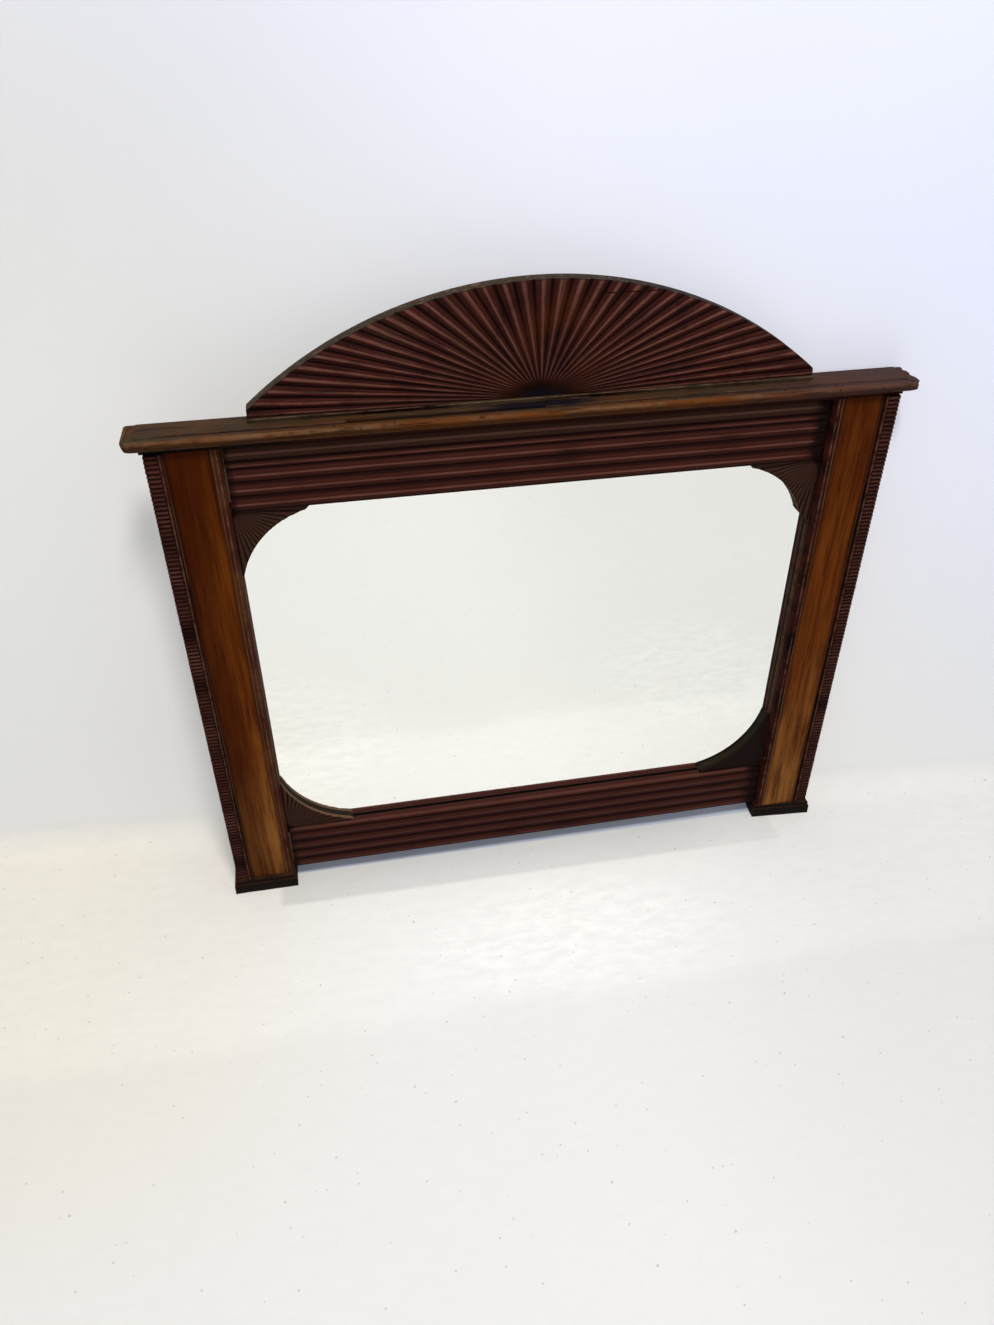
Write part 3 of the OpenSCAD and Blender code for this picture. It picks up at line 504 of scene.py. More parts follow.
def cornice_finish(finishes, name, stretch, core, top, shift=0.0, lined=1.0):
    """The cornice: an orange-brown band round its front, and olive over and under it.

    Core is the left front foot of the board in it, and top the nose's top. Lined is 1 for the front and
    the top, where a dark joint and a fine lit line run along the mirror, and 0 for the returns."""
    f = worn_finish(finishes, name, stretch, finishes.worn, finishes.olive, shift)
    fine = [1.6 * lumps for lumps in stretch]
    grain = f.cloud(*fine, detail=5, rough=0.72, shift=shift + 20)
    patchy = f.cloud(10, 10, 10, detail=3, shift=shift + 30)
    wander = f.uneven(14, 3 * MM, shift + 3)
    out = ((f.x.absolute() + core.x) * (1 - lined) - lined).highest(core.y - f.y) + wander
    band_low, band_high = (top - below for below in BAND_BELOW_TOP)
    band = out.step(*BAND_OUT) * (f.z + wander).step(band_low, band_high)
    topmost = out.step(*reversed(BAND_OUT))
    tint = f.mix(f.tint, finishes.bare, topmost * grain.step(0.52, 0.70) * 0.20)
    orange = f.mix(finishes.worn, finishes.veneer, 0.15 + 0.35 * lined)
    toward_middle = f.x.step(-0.50, -0.15) * 0.55 + 0.45
    tint = f.mix(tint, orange, band * (0.15 + patchy.step(0.40, 0.60) * 0.75) * toward_middle)
    tint = f.mix(tint, finishes.grime_and_shade, grain.step(0.53, 0.62) * 0.75)
    lit = (out - LIT_OUT).absolute().step(1.1 * MM, 0.4 * MM)
    lit = lit * f.cloud(40, 40, 40, shift=shift + 6).step(0.36, 0.50)
    tint = f.mix(tint, finishes.bare, lit * 0.28 * lined)
    joint = (out - wander - JOINT_OUT).absolute().step(1.8 * MM, 0.8 * MM)
    dark_joint = joint * f.cloud(9, 9, 9, shift=shift + 7).step(0.30, 0.42)
    tint = f.mix(tint, SOOT, dark_joint * 0.9 * lined)
    tint = f.mix(tint, DUSTY, f.x.step(0.20, 0.44) * 0.55)
    under_fan = (f.x + f.uneven(40, 0.04)).absolute().step(0.10, 0.04) * out.step(0.0, -2 * MM)
    tint = f.mix(tint, SOOT, under_fan * 0.9)
    across = out.step(3 * MM, 4.5 * MM) * out.step(11 * MM, 9 * MM)
    for at in CUTS:
        nick = (f.x - at + wander).absolute().step(1.6 * MM, 0.6 * MM)
        tint = f.mix(tint, finishes.grime_and_shade, nick * across * 0.8)
    nail = f.cloud(260, 260, 260, detail=0, shift=shift + 9).step(0.78, 0.81)
    tint = f.mix(tint, finishes.grime_and_shade, nail * 0.8)
    f.paint(Base_Color=tint)
    f.raise_grain(grain + f.cloud(30, 30, 30, shift=shift) * 0.6 - joint - nail, 0.5 * MM)
    return f


def plain_finish(finishes, name, tint, stretch, depth=0.4 * MM, shift=0.0):
    """Unpolished wood or card with a fibre along it."""
    f = Finish(name, Specular_IOR_Level=0.08, Specular_Tint=WARM)
    fibre = f.cloud(*stretch, detail=4, shift=shift)
    patch = f.cloud(6, 6, 6, shift=shift + 1)
    shaded = f.shade(tint, 0.65 + fibre * 0.45 + patch * 0.25)
    shaded = f.mix(shaded, finishes.grime_and_shade, fibre.step(0.62, 0.8) * 0.4)
    f.paint(Base_Color=shaded, Roughness=0.6 + fibre * 0.2)
    f.raise_grain(fibre, depth)
    return f


def black_finish(finishes, name, pale_from=None):
    """Near-black stain, browner on its edges as wear and painted highlight. Right of pale_from it turns
    into the rails' stain, and left of it the near-black is also painted shade.
    """
    f = Finish(name, Specular_IOR_Level=0.05, Specular_Tint=WARM)
    patch = f.cloud(40, 60, 60, detail=4, rough=0.7)
    edge = f.mark("edge")
    # Browner edges: wear and painted highlight
    tint = f.mix(finishes.black_stain_and_shade, finishes.worn, (patch * 0.9 + edge * 0.35).step(0.55, 1.0) * 0.7)
    # Near-black left of pale_from: black stain and painted shade
    if pale_from is not None:
        tint = f.mix(tint, finishes.stain, f.x.step(pale_from, pale_from + 0.03) * 0.8)
    f.paint(Base_Color=tint, Roughness=0.5 + patch * 0.3)
    f.raise_grain(patch, 0.6 * MM)
    return f


def steel_finish(finishes):
    f = Finish("steel", Metallic=1.0)
    rub = f.cloud(180, 180, 180, detail=3)
    spots = f.cloud(320, 320, 320, detail=2, shift=6).step(0.58, 0.7)
    tint = f.mix(finishes.steel, RUST, spots * 0.7)
    f.paint(Base_Color=tint, Roughness=0.35 + rub * 0.25 + spots * 0.2)
    f.raise_grain(rub, 0.1 * MM)
    return f


def glass_finish(finishes):
    """Silvered glass: a clear reflection, faintly uneven, with a few dull specks."""
    f = Finish("silvered glass", Metallic=1.0)
    haze = f.cloud(5, 5, 5, detail=3)
    speck = f.cloud(600, 600, 600, detail=1, shift=3).step(0.84, 0.86)
    tint = f.mix(finishes.silver, finishes.card, speck * 0.4)
    f.paint(Base_Color=tint, Roughness=0.012 + haze * 0.012 + speck * 0.2)
    return f


# Mesh code


def lump(x, y, z, seed):
    """Smooth noise between about -1 and 1."""
    return noise.noise(Vector((x, y, z + 17.0 * seed)))


class Sweep:
    """Sections of points that follow each other, with numbers marked at each point."""

    def __init__(self):
        self.sections = []
        self.marks = {}

    def add(self, section, **marks):
        self.sections.append(section)
        for mark, values in marks.items():
            self.marks.setdefault(mark, []).append(values)


def skin(name, sweep, closed_profile=True, closed_ring=False, caps=True, sharp=40):
    """A mesh over the sections of a sweep."""
    sections = np.asarray(sweep.sections, float)
    count, around, _ = sections.shape
    faces = []
    for i in range(count if closed_ring else count - 1):
        j = (i + 1) % count
        for k in range(around if closed_profile else around - 1):
            m = (k + 1) % around
            faces.append((i * around + k, j * around + k, j * around + m, i * around + m))
    if caps and not closed_ring:
        faces.append(tuple(range(around)))
        faces.append(tuple(reversed([(count - 1) * around + k for k in range(around)])))
    mesh = bpy.data.meshes.new(name)
    mesh.from_pydata(sections.reshape(-1, 3).tolist(), [], faces)
    for mark, values in sweep.marks.items():
        layer = mesh.attributes.new(mark, "FLOAT", "POINT")
        layer.data.foreach_set("value", np.asarray(values, float).reshape(-1))
    finish_mesh(mesh, sharp)
    piece = bpy.data.objects.new(name, mesh)
    bpy.context.scene.collection.objects.link(piece)
    return piece


def finish_mesh(mesh, sharp):
    work = bmesh.new()
    work.from_mesh(mesh)
    bmesh.ops.remove_doubles(work, verts=work.verts, dist=1e-6)
    bmesh.ops.recalc_face_normals(work, faces=work.faces)
    work.to_mesh(mesh)
    work.free()
    mesh.shade_smooth()
    mesh.set_sharp_from_angle(angle=math.radians(sharp))


def dress(piece, finish, slot, *nodes):
    """The piece takes a finish and stands for its nodes."""
    piece.data.materials.clear()
    piece.data.materials.append(finish.material)
    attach(piece, BODY)
    if nodes:
        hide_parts(*nodes)
    return piece


def dress_node(node, finish, soften=0.4 * MM):
    """A node that keeps its shape takes a finish and slightly softened edges."""
    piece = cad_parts[node]
    piece.data.materials.clear()
    piece.data.materials.append(finish.material)
    weld = piece.modifiers.new("weld", "WELD")
    weld.merge_threshold = 0.02 * MM
    if soften:
        bevel = piece.modifiers.new("soft edge", "BEVEL")
        bevel.width = soften
        bevel.segments = 2
        bevel.angle_limit = math.radians(50)
        bevel.harden_normals = True


def rounded(a0, a1, b0, b1, r, spacing):
    """Points round a rectangle with rounded arrises, and how much each lies on an arris."""
    points = []
    edge = []
    corners = ((a0, b0, 180), (a1, b0, 270), (a1, b1, 0), (a0, b1, 90))
    for n, (a, b, start) in enumerate(corners):
        ca = a + r if a == a0 else a - r
        cb = b + r if b == b0 else b - r
        for step in range(4):
            angle = math.radians(start + 30 * step)
            points.append((ca + r * math.cos(angle), cb + r * math.sin(angle)))
            edge.append(1.0)
        nxt = corners[(n + 1) % 4]
        side = max(abs(nxt[0] - a), abs(nxt[1] - b)) - 2 * r
        extra = max(1, int(side / spacing))
        last = points[-1]
        na = nxt[0] + r if nxt[0] == a0 else nxt[0] - r
        nb = nxt[1] + r if nxt[1] == b0 else nxt[1] - r
        first = math.radians(nxt[2])
        target = (na + r * math.cos(first), nb + r * math.sin(first))
        for k in range(1, extra + 1):
            t = k / (extra + 1)
            points.append(tuple(here + (there - here) * t for here, there in zip(last, target)))
            edge.append(0.0)
    return points, edge


def inward(value, low, high, reach):
    """The way in from the nearer of two sides, -1 or 1, or 0 where both are as far off as reach."""
    middle = (low + high) / 2
    if abs(abs(value - middle) - (high - middle)) >= reach:
        return 0
    return -math.copysign(1, value - middle)


def stations(start, end, spacing, r):
    """Places along a bar, closer at its rounded ends."""
    ends = [0, 0.3 * r, r]
    middle = np.linspace(start + r, end - r, max(2, int((end - start) / spacing)))
    return [start + e for e in ends[:2]] + list(middle) + [end - e for e in reversed(ends[:2])]


def worn_bar(name, low, high, axis, r, dent, seed, spacing=6 * MM, across=12 * MM):
    """A rounded, slightly dented bar along one axis, inside its box."""
    a_axis, b_axis = [n for n in range(3) if n != axis]
    sweep = Sweep()
    for t in stations(low[axis], high[axis], spacing, r):
        inside = min(t - low[axis], high[axis] - t, r)
        inset = r - math.sqrt(max(r * r - (r - inside) ** 2, 0))
        a_low, a_high = low[a_axis], high[a_axis]
        b_low, b_high = low[b_axis], high[b_axis]
        points, edge = rounded(a_low + inset, a_high - inset, b_low + inset, b_high - inset, r, across)
        section = []
        for (a, b), e in zip(points, edge):
            chip = max(0.0, lump(t * 70, a * 90, b * 90, seed) - 0.25) * 2.2 * e
            sink = dent * (0.5 + 0.5 * lump(t * 25, a * 60, b * 60, seed + 1)) * 0.6 + dent * chip
            point = [0, 0, 0]
            point[axis] = t
            point[a_axis] = a + inward(a, a_low, a_high, 2 * r) * sink
            point[b_axis] = b + inward(b, b_low, b_high, 2 * r) * sink
            section.append(point)
        sweep.add(section, edge=[max(e, 1.0 if inside < r * 0.9 else 0.0) for e in edge])
    return skin(name, sweep)


def reed_curve(height, depth, steps):
    """Rows across one reed: share of its height, depth of its face, nearness to crest and to groove."""
    r = (height * height / 4 + depth * depth) / (2 * depth)
    rows = []
    for k in range(steps):
        u = 2 * k / steps - 1
        fall = r - math.sqrt(r * r - (u * height / 2) ** 2)
        rows.append((k / steps, fall, max(0.0, 1 - abs(u) * 2.0), max(0.0, (abs(u) - 0.5) * 2)))
    return rows


def reeded_rail(name, node, bands, seed, carving, back_steps=()):
    """A facing of reeds that runs along X, closed behind by back_steps.

    A band is (from, to, reed height, groove depth), and is flat where its depth is 0."""
    low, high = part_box(node)
    front = low.y
    profile = []
    for start, end, height, depth in bands:
        if depth == 0:
            flat = carving.rail_reed_depth
            arris = 0.6 * MM
            profile += [(start, flat, 0.0, 0.6), (start, flat, 0.4, 0.0)]
            profile += [(end - arris, flat, 1.0, 0.0), (end, flat + arris, 1.0, 0.0)]
            continue
        for n in range(max(1, round((end - start) / height))):
            for share, fall, crest, groove in reed_curve(height, depth, 14):
                profile.append((start + (n + share) * height, fall, crest, groove))
        profile.append((end, depth, 0.0, 1.0))
    cut = [row for row in profile if row[0] < low.z]
    profile = profile[len(cut):]
    if cut:
        profile.insert(0, (low.z, *cut[-1][1:]))
    count = max(2, int((high.x - low.x) / SPACING))
    sweep = Sweep()
    for i in range(count + 1):
        x = low.x + (high.x - low.x) * i / count
        near_end = min(x - low.x, high.x - x)
        section = []
        for z, fall, crest, groove in profile:
            wave = lump(x * 9, z * 60, 0, seed) * 0.5 + lump(x * 40, z * 110, 3, seed) * 0.35
            nick = max(0.0, lump(x * 55, z * 130, 9, seed) - 0.42) * 5 * crest
            depth = fall + carving.dent * (0.8 + wave) * (1 - groove) + carving.dent * nick
            depth += max(0.0, END_ROUND - near_end) * 0.8
            section.append((x, front + max(depth, 0.0), z))
        section += [(x, y, z) for y, z in back_steps]
        tail = [0.0] * len(back_steps)
        at_end = near_end < 2 * MM
        sweep.add(
            section,
            crest=[row[2] for row in profile] + tail,
            groove=[row[3] for row in profile] + tail,
            edge=[1.0 if at_end and row[2] > 0.3 else 0.0 for row in profile] + tail,
        )
    return skin(name, sweep, sharp=55)


# Carved fans

# Share of a ray that is its carved face, before the arris at its end
FACE = 0.98


def reed_fall(u, half_angle, roundness):
    """How deep a reed's face lies, as a share of the distance from the focus."""
    return math.tan(half_angle) * (roundness - math.sqrt(roundness * roundness - u * u))


def carved_rays(rays, focus, front, back, carving, seed, radial=22, side=1, up=1):
    """A sweep over a fan: each ray runs from the focus to the rim and back along the flat back.

    A ray is (across, along, u, half angle, reed number)."""
    shares = [0.0, 0.02, 0.05] + [0.1 + (FACE - 0.1) * k / radial for k in range(radial + 1)]
    arris = carving.arris
    sweep = Sweep()
    for across, along, u, half, reed in rays:
        reach = math.hypot(across, along)
        crest = max(0.0, 1 - abs(u) * 1.15)
        groove = max(0.0, abs(u) * 3.4 - 2.4)
        section = []
        shares_here = [s * (1 - 2 * arris / reach) / FACE for s in shares]
        shares_here += [1 - 0.3 * arris / reach, 1.0]
        for n, s in enumerate(shares_here):
            px = across * s
            pz = along * s
            fall = s * reach * reed_fall(u, half, carving.roundness)
            wave = lump(px * 30 * side, pz * 30 * up, reed * 0.37, seed)
            sink = carving.dent * (0.7 + wave) * (1 - groove) * min(1.0, s * 4)
            if n == len(shares_here) - 2:
                sink += 0.3 * arris
            if n == len(shares_here) - 1:
                chip = max(0.0, lump(px * 60, pz * 60, 5, seed) - 0.2) * 3
                sink += arris * (1 + chip)
            section.append((focus[0] + side * px, front + fall + sink, focus[1] + up * pz))
        section.append((focus[0] + side * across, back, focus[1] + up * along))
        section.append((focus[0], back, focus[1]))
        inner = [min(1.0, s * 5) for s in shares_here]
        sweep.add(
            section,
            crest=[crest * w for w in inner] + [0.0, 0.0],
            groove=[max(groove, 1 - w) for w in inner] + [0.0, 0.0],
            edge=[0.0] * (len(shares_here) - 2) + [0.7, 1.0, 1.0, 0.0],
        )
    return sweep


def pediment_rays(half_width, rise, end, focus_up, reeds, steps=14):
    """Rays of the pediment, from the right end over the curved edge to the left end."""
    radius = (half_width**2 + rise**2) / (2 * rise)
    centre = end + rise - radius
    half_arc = math.asin(half_width / radius)

    def edge_point(n):
        a = math.pi / 2 - half_arc + 2 * half_arc * n / reeds
        return radius * math.cos(a), centre + radius * math.sin(a) - focus_up

    first = math.atan2(edge_point(0)[1], half_width)
    right = []
    for k in range(steps):
        a = first * k / steps
        right.append((half_width, half_width * math.tan(a), 2 * k / steps - 1, first / 2, -1))
    curve = []
    for n in range(reeds):
        a = edge_point(n)
        b = edge_point(n + 1)
        half = (math.atan2(b[1], b[0]) - math.atan2(a[1], a[0])) / 2
        for k in range(steps):
            px, pz = edge_point(n + k / steps)
            curve.append((px, pz, 2 * k / steps - 1, half, n))
    left = [(-px, pz, -u, half, reeds) for px, pz, u, half, _ in reversed(right)]
    corner = (-half_width, curve[0][1], -1.0, curve[0][3], reeds)
    foot = [(half_width * share, -focus_up, 1.0, first / 2, -1) for share in (-1, -0.5, 0, 0.5, 1)]
    return right + curve + [corner] + left + foot


def corner_rays(legs, carving, steps=12):
    """Rays of a corner plate from its corner, over the slanted ends and the hollow sweep."""
    leg_across, leg_up, cx, cz, radius = legs
    reeds = carving.corner_reeds
    rays = []
    for n in range(reeds * steps + 1):
        a = math.pi / 2 * n / (reeds * steps)
        along = cx * math.cos(a) + cz * math.sin(a)
        disc = along * along - (cx * cx + cz * cz - radius * radius)
        sweep = along - math.sqrt(disc) if disc > 0 else 1.0
        leg = leg_across if a < math.pi / 4 else leg_up
        reach = min(sweep, leg / (math.cos(a) + math.sin(a)))
        k = n % steps
        u = 1.0 if n == reeds * steps else 2 * k / steps - 1
        rays.append((reach * math.cos(a), reach * math.sin(a), u, math.pi / 4 / reeds, n // steps))
    return rays


# Operators: one for each piece or group of like pieces


class MirrorOperator(bpy.types.Operator):
    bl_options = {"REGISTER", "UNDO"}

    @property
    def carving(self):
        return bpy.context.scene.mirror_carving

    @property
    def finishes(self):
        return bpy.context.scene.mirror_finishes

    @property
    def room(self):
        return bpy.context.scene.mirror_room


class CarvePediment(MirrorOperator):
    """Carve the sunburst board over the cornice, with its fillet"""

    bl_idname = "mirror.carve_pediment"
    bl_label = "Carve Pediment"

    def execute(self, context):
        carving = self.carving
        low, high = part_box("pediment_fan")
        middle = (low.x + high.x) / 2
        end = carving.fan_end
        rise = high.z - low.z - end
        rays = pediment_rays(high.x - middle, rise, end, carving.fan_focus, carving.fan_reeds)
        focus = (middle, low.z + carving.fan_focus)
        fan = carved_rays(rays, focus, low.y, high.y, carving, 1, radial=30)
        board = skin("sunburst", fan, closed_profile=False, closed_ring=True, sharp=50)
        finish = fan_finish(self.finishes, Vector((middle, 0, focus[1])))
        dress(board, finish, "dark_wood", "pediment_fan")
        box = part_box("pediment_fillet")
        fillet = worn_bar("sunburst_fillet", *box, 0, carving.arris, carving.dent, 2)
        tones = (self.finishes.grime_and_shade, self.finishes.olive)
        stain = worn_finish(self.finishes, "fillet stain", (6, 160, 160), *tones, shift=2)
        dress(fillet, stain, "olive_wood", "pediment_fillet")
        return {"FINISHED"}


class CarveCorners(MirrorOperator):
    """Carve the reeded corner plates, and finish the plain one and the blocks"""

    bl_idname = "mirror.carve_corners"
    bl_label = "Carve Corners"

    def execute(self, context):
        carving = self.carving
        finishes = self.finishes
        fibre = (70, 70, 70)
        carved = carved_finish(finishes, "corner stain", fibre, shift=4, dull=0.48, rub=0.55)
        rim = carved.mark("edge")
        deep = carved.shade(carved.tint, 0.78)
        carved.paint(Base_Color=carved.mix(deep, finishes.bare, rim.step(0.6, 0.9) * 0.35))
        for seed, (corner, legs) in enumerate(CORNERS.items(), 5):
            node = "corner_fan_" + corner
            low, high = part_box(node)
            left = corner.endswith("left")
            top = corner.startswith("top")
            focus = (low.x if left else high.x, high.z if top else low.z)
            fan = carved_rays(
                corner_rays(legs, carving), focus, low.y, high.y, carving, seed, radial=12,
                side=1 if left else -1, up=-1 if top else 1,
            )
            plate = skin(node + "_carving", fan, sharp=50)
            dress(plate, carved, "dark_wood", node)
        block = plain_finish(finishes, "corner block", BLOCKS, (50, 50, 50), shift=3)
        for corner in (*CORNERS, "bottom_right"):
            dress_node("corner_block_" + corner, block)
        # The plain corner plate is dark in part as painted shade
        smooth = plain_finish(finishes, "corner plain stain and shade", SHADED_PLAIN_PLATE, (30, 30, 90))
        dress_node("corner_fan_bottom_right", smooth)
        return {"FINISHED"}


class ReedRails(MirrorOperator):
    """Run the reeded facings, the bead and the frieze along the two rails"""

    bl_idname = "mirror.reed_rails"
    bl_label = "Reed Rails"

    def execute(self, context):
        carving = self.carving
        fibre = (7, 150, 150)
        stain = rail_finish(self.finishes, "rail stain", fibre, 1, dull=0.08, rub=0.8)
        lower_stain = rail_finish(self.finishes, "lower rail stain", fibre, 3, dull=0.12, rub=0.4)
        frieze_stain = rail_finish(self.finishes, "frieze stain", fibre, 5, dull=0.35, rub=2.2)
        height = carving.rail_reed
        depth = carving.rail_reed_depth
        fillet_low, fillet_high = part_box("sight_fillet_top")
        back = fillet_low.y - carving.shadow_groove
        low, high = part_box("top_reeding")
        bands = [(low.z, high.z, height, depth)]
        steps = [(high.y, high.z), (high.y, fillet_high.z), (back, fillet_high.z), (back, low.z)]
        self.facing("top_reeds", "top_reeding", bands, 11, steps, stain, "dark_wood")
        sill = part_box("sight_fillet_bottom")[0].z
        low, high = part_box("bottom_reeding")
        cap = high.z - carving.bottom_cap
        bands = [(low.z - carving.bottom_cut, cap, height, depth), (cap, high.z, 0, 0)]
        steps = [(high.y, high.z), (high.y, cap), (back, cap), (back, sill)]
        steps += [(fillet_low.y, sill), (fillet_low.y, low.z)]
        self.facing("bottom_reeds", "bottom_reeding", bands, 12, steps, lower_stain, "dark_wood")
        self.single_reed("rail_bead_worn", "rail_bead", depth - MM, 13, stain, "worn_wood")
        self.single_reed("frieze", "frieze_reed", depth, 14, frieze_stain, "dark_wood")
        return {"FINISHED"}

    def facing(self, name, node, bands, seed, steps, finish, slot):
        piece = reeded_rail(name, node, bands, seed, self.carving, steps)
        dress(piece, finish, slot, node)

    def single_reed(self, name, node, depth, seed, finish, slot):
        """A facing that is one reed high."""
        low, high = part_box(node)
        bands = [(low.z, high.z, high.z - low.z, depth)]
        steps = [(high.y, high.z), (high.y, low.z)]
        self.facing(name, node, bands, seed, steps, finish, slot)


class CutRibs(MirrorOperator):
    """Cut the small ribs down the outer strips of the posts"""

    bl_idname = "mirror.cut_ribs"
    bl_label = "Cut Ribs"

    def execute(self, context):
        fibre = (120, 120, 120)
        stain = carved_finish(self.finishes, "rib stain", fibre, shift=6, dull=0.10, rub=0.55)
        for seed, side in enumerate(SIDES, 21):
            node = "ribbed_strip_" + side
            dress(self.strip(node, side, seed), stain, "dark_wood", node)
        return {"FINISHED"}

    def rib_heights(self, low, high, seed):
        """Uneven places where the grooves between the ribs lie."""
        count = round((high - low) / self.carving.rib_pitch)
        pitch = (high - low) / count
        middle = [low + pitch * (n + 0.34 * lump(0, 5, n * 1.3, seed)) for n in range(1, count)]
        return [low] + middle + [high]

    def strip(self, node, side, seed):
        carving = self.carving
        low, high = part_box(node)
        outer = high.x if side == "right" else low.x
        steps = 8
        columns = 9
        sweep = Sweep()
        heights = self.rib_heights(low.z, high.z, seed)
        ribs = len(heights) - 1
        places = [(n, k / steps) for n in range(ribs) for k in range(steps)] + [(ribs - 1, 1.0)]
        for rib, t in places:
            z = heights[rib] + (heights[rib + 1] - heights[rib]) * t
            swell = max(0.0, math.sin(math.pi * t)) ** 0.6
            uneven = 0.5 + 0.5 * lump(0, 0, rib * 1.7, seed)
            groove_darkening = 0.5 + 0.9 * lump(0, 7, z * 22, seed)
            section = []
            for c in range(columns):
                share = c / (columns - 1)
                x = low.x + (high.x - low.x) * share
                rim = min(share, 1 - share)
                worn = carving.arris * max(0.0, 1 - rim * 9) ** 2
                wave = carving.dent * (0.6 + lump(x * 300, z * 300, 0, seed)) * swell
                depth = carving.rib_depth * (1 - swell * (1 - 0.35 * uneven)) + worn + wave
                if x == outer:
                    bite = 0.9 * (1 - swell) * (0.4 + uneven) + 0.4 * uneven * swell
                    x += carving.rib_depth * (bite if side == "left" else -bite)
                section.append((x, low.y + depth, z))
            last = section[-1][0]
            first = section[0][0]
            section += [(last, high.y, z), (first, high.y, z)]
            crest = max(0.0, swell * 2 - 1) * (1 - 0.5 * groove_darkening)
            groove = min(1.0, (1 - swell) + max(0.0, groove_darkening - 0.55) * 0.9)
            sweep.add(
                section,
                crest=[crest] * columns + [0.0, 0.0],
                groove=[groove] * columns + [0.3, 0.3],
                edge=[1.0] + [0.0] * (columns - 2) + [1.0, 0.0, 0.0],
            )
        return skin(node + "_ribs", sweep, sharp=70)


class RunPostMouldings(MirrorOperator):
    """Run the beads, inner edges and sight strips of the posts, and lay the veneer"""

    bl_idname = "mirror.run_post_mouldings"
    bl_label = "Run Post Mouldings"

    def execute(self, context):
        finishes = self.finishes
        low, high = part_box("panel_left")
        veneer = veneer_finish(finishes, low.z, high.z)
        dark_tones = (finishes.grime_and_shade, finishes.stain)
        bead_stain = worn_finish(finishes, "bead stain", (200, 200, 12), *dark_tones, shift=1)
        edge_tones = {"left": (finishes.stain, finishes.worn), "right": dark_tones}
        edge_stains = {
            side: worn_finish(finishes, side + " inner edge", (200, 200, 9), *tones, shift=3)
            for side, tones in edge_tones.items()
        }
        reveal = reveal_finish(finishes, "sight stain", (120, 120, 8), shift=5)
        for seed, side in enumerate(SIDES, 31):
            sign = -1 if side == "left" else 1
            dress_node("panel_" + side, veneer, 0.5 * MM)
            bead = self.upright("bead_" + side, self.bead_profile, sign, seed)
            dress(bead, bead_stain, "dark_wood", "bead_" + side)
            edge = self.upright("inner_edge_" + side, self.edge_profile, sign, seed + 2)
            dress(edge, edge_stains[side], "worn_wood", "inner_edge_" + side)
            for kind in ("sight_slip_", "sight_fillet_"):
                self.sight_bar(kind + side, 2, seed + 4, reveal)
        sill_stain = reveal_finish(finishes, "sill stain", (8, 120, 120), shift=5)
        for seed, node in enumerate(("sight_fillet_top", "sight_fillet_bottom"), 41):
            self.sight_bar(node, 0, seed, sill_stain)
        return {"FINISHED"}

    def sight_bar(self, node, axis, seed, finish):
        carving = self.carving
        bar = worn_bar(node + "_worn", *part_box(node), axis, carving.arris, carving.dent, seed)
        dress(bar, finish, "olive_wood", node)

    def bead_profile(self, width, depth):
        """(across, depth, on the arris) round the bead, from its inner side."""
        r = width / 2
        rows = [(0.0, depth, 0.0), (0.0, r, 0.0)]
        for k in range(1, 12):
            a = math.pi * k / 12
            rows.append((r - r * math.cos(a), r - r * math.sin(a), max(0.0, math.sin(a) * 3 - 2)))
        return rows + [(width, r, 0.0), (width, depth, 0.0)]

    def edge_profile(self, width, depth):
        """A flat, then a slope into the reveal; measured from the reveal side."""
        slope_w = 0.45 * width
        slope_d = 7 * MM
        r = self.carving.arris
        return [
            (0.0, depth, 0.0), (0.0, slope_d + r, 0.4), (0.3 * r, slope_d, 0.8),
            (slope_w * 0.5, slope_d * 0.5, 0.1), (slope_w - r, r, 0.8), (slope_w, 0.2 * r, 1.0),
            (slope_w + 2 * r, 0.2 * r, 0.7), (width * 0.75, 0.9 * r, 0.0),
            (width - 1.4 * r, 0.6 * r, 0.2), (width - r, 0.0, 1.0), (width - 0.3 * r, 0.1 * r, 1.0),
            (width, r, 0.4), (width, depth, 0.0),
        ]

    def upright(self, node, profile, sign, seed):
        low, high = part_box(node)
        rows = profile(high.x - low.x, high.y - low.y)
        inner = low.x if sign > 0 else high.x
        dent = self.carving.dent
        sweep = Sweep()
        for z in np.linspace(low.z, high.z, int((high.z - low.z) / SPACING)):
            section = []
            for across, deep, edge in rows:
                chip = max(0.0, lump(0, 3, z * 45, seed) - 0.3) * 3
                sink = dent * edge * (0.6 + 0.6 * lump(across * 200, 0, z * 60, seed) + chip)
                section.append((inner + sign * across, low.y + deep + sink, z))
            sweep.add(section, edge=[row[2] for row in rows])
        return skin(node + "_worn", sweep, sharp=50)


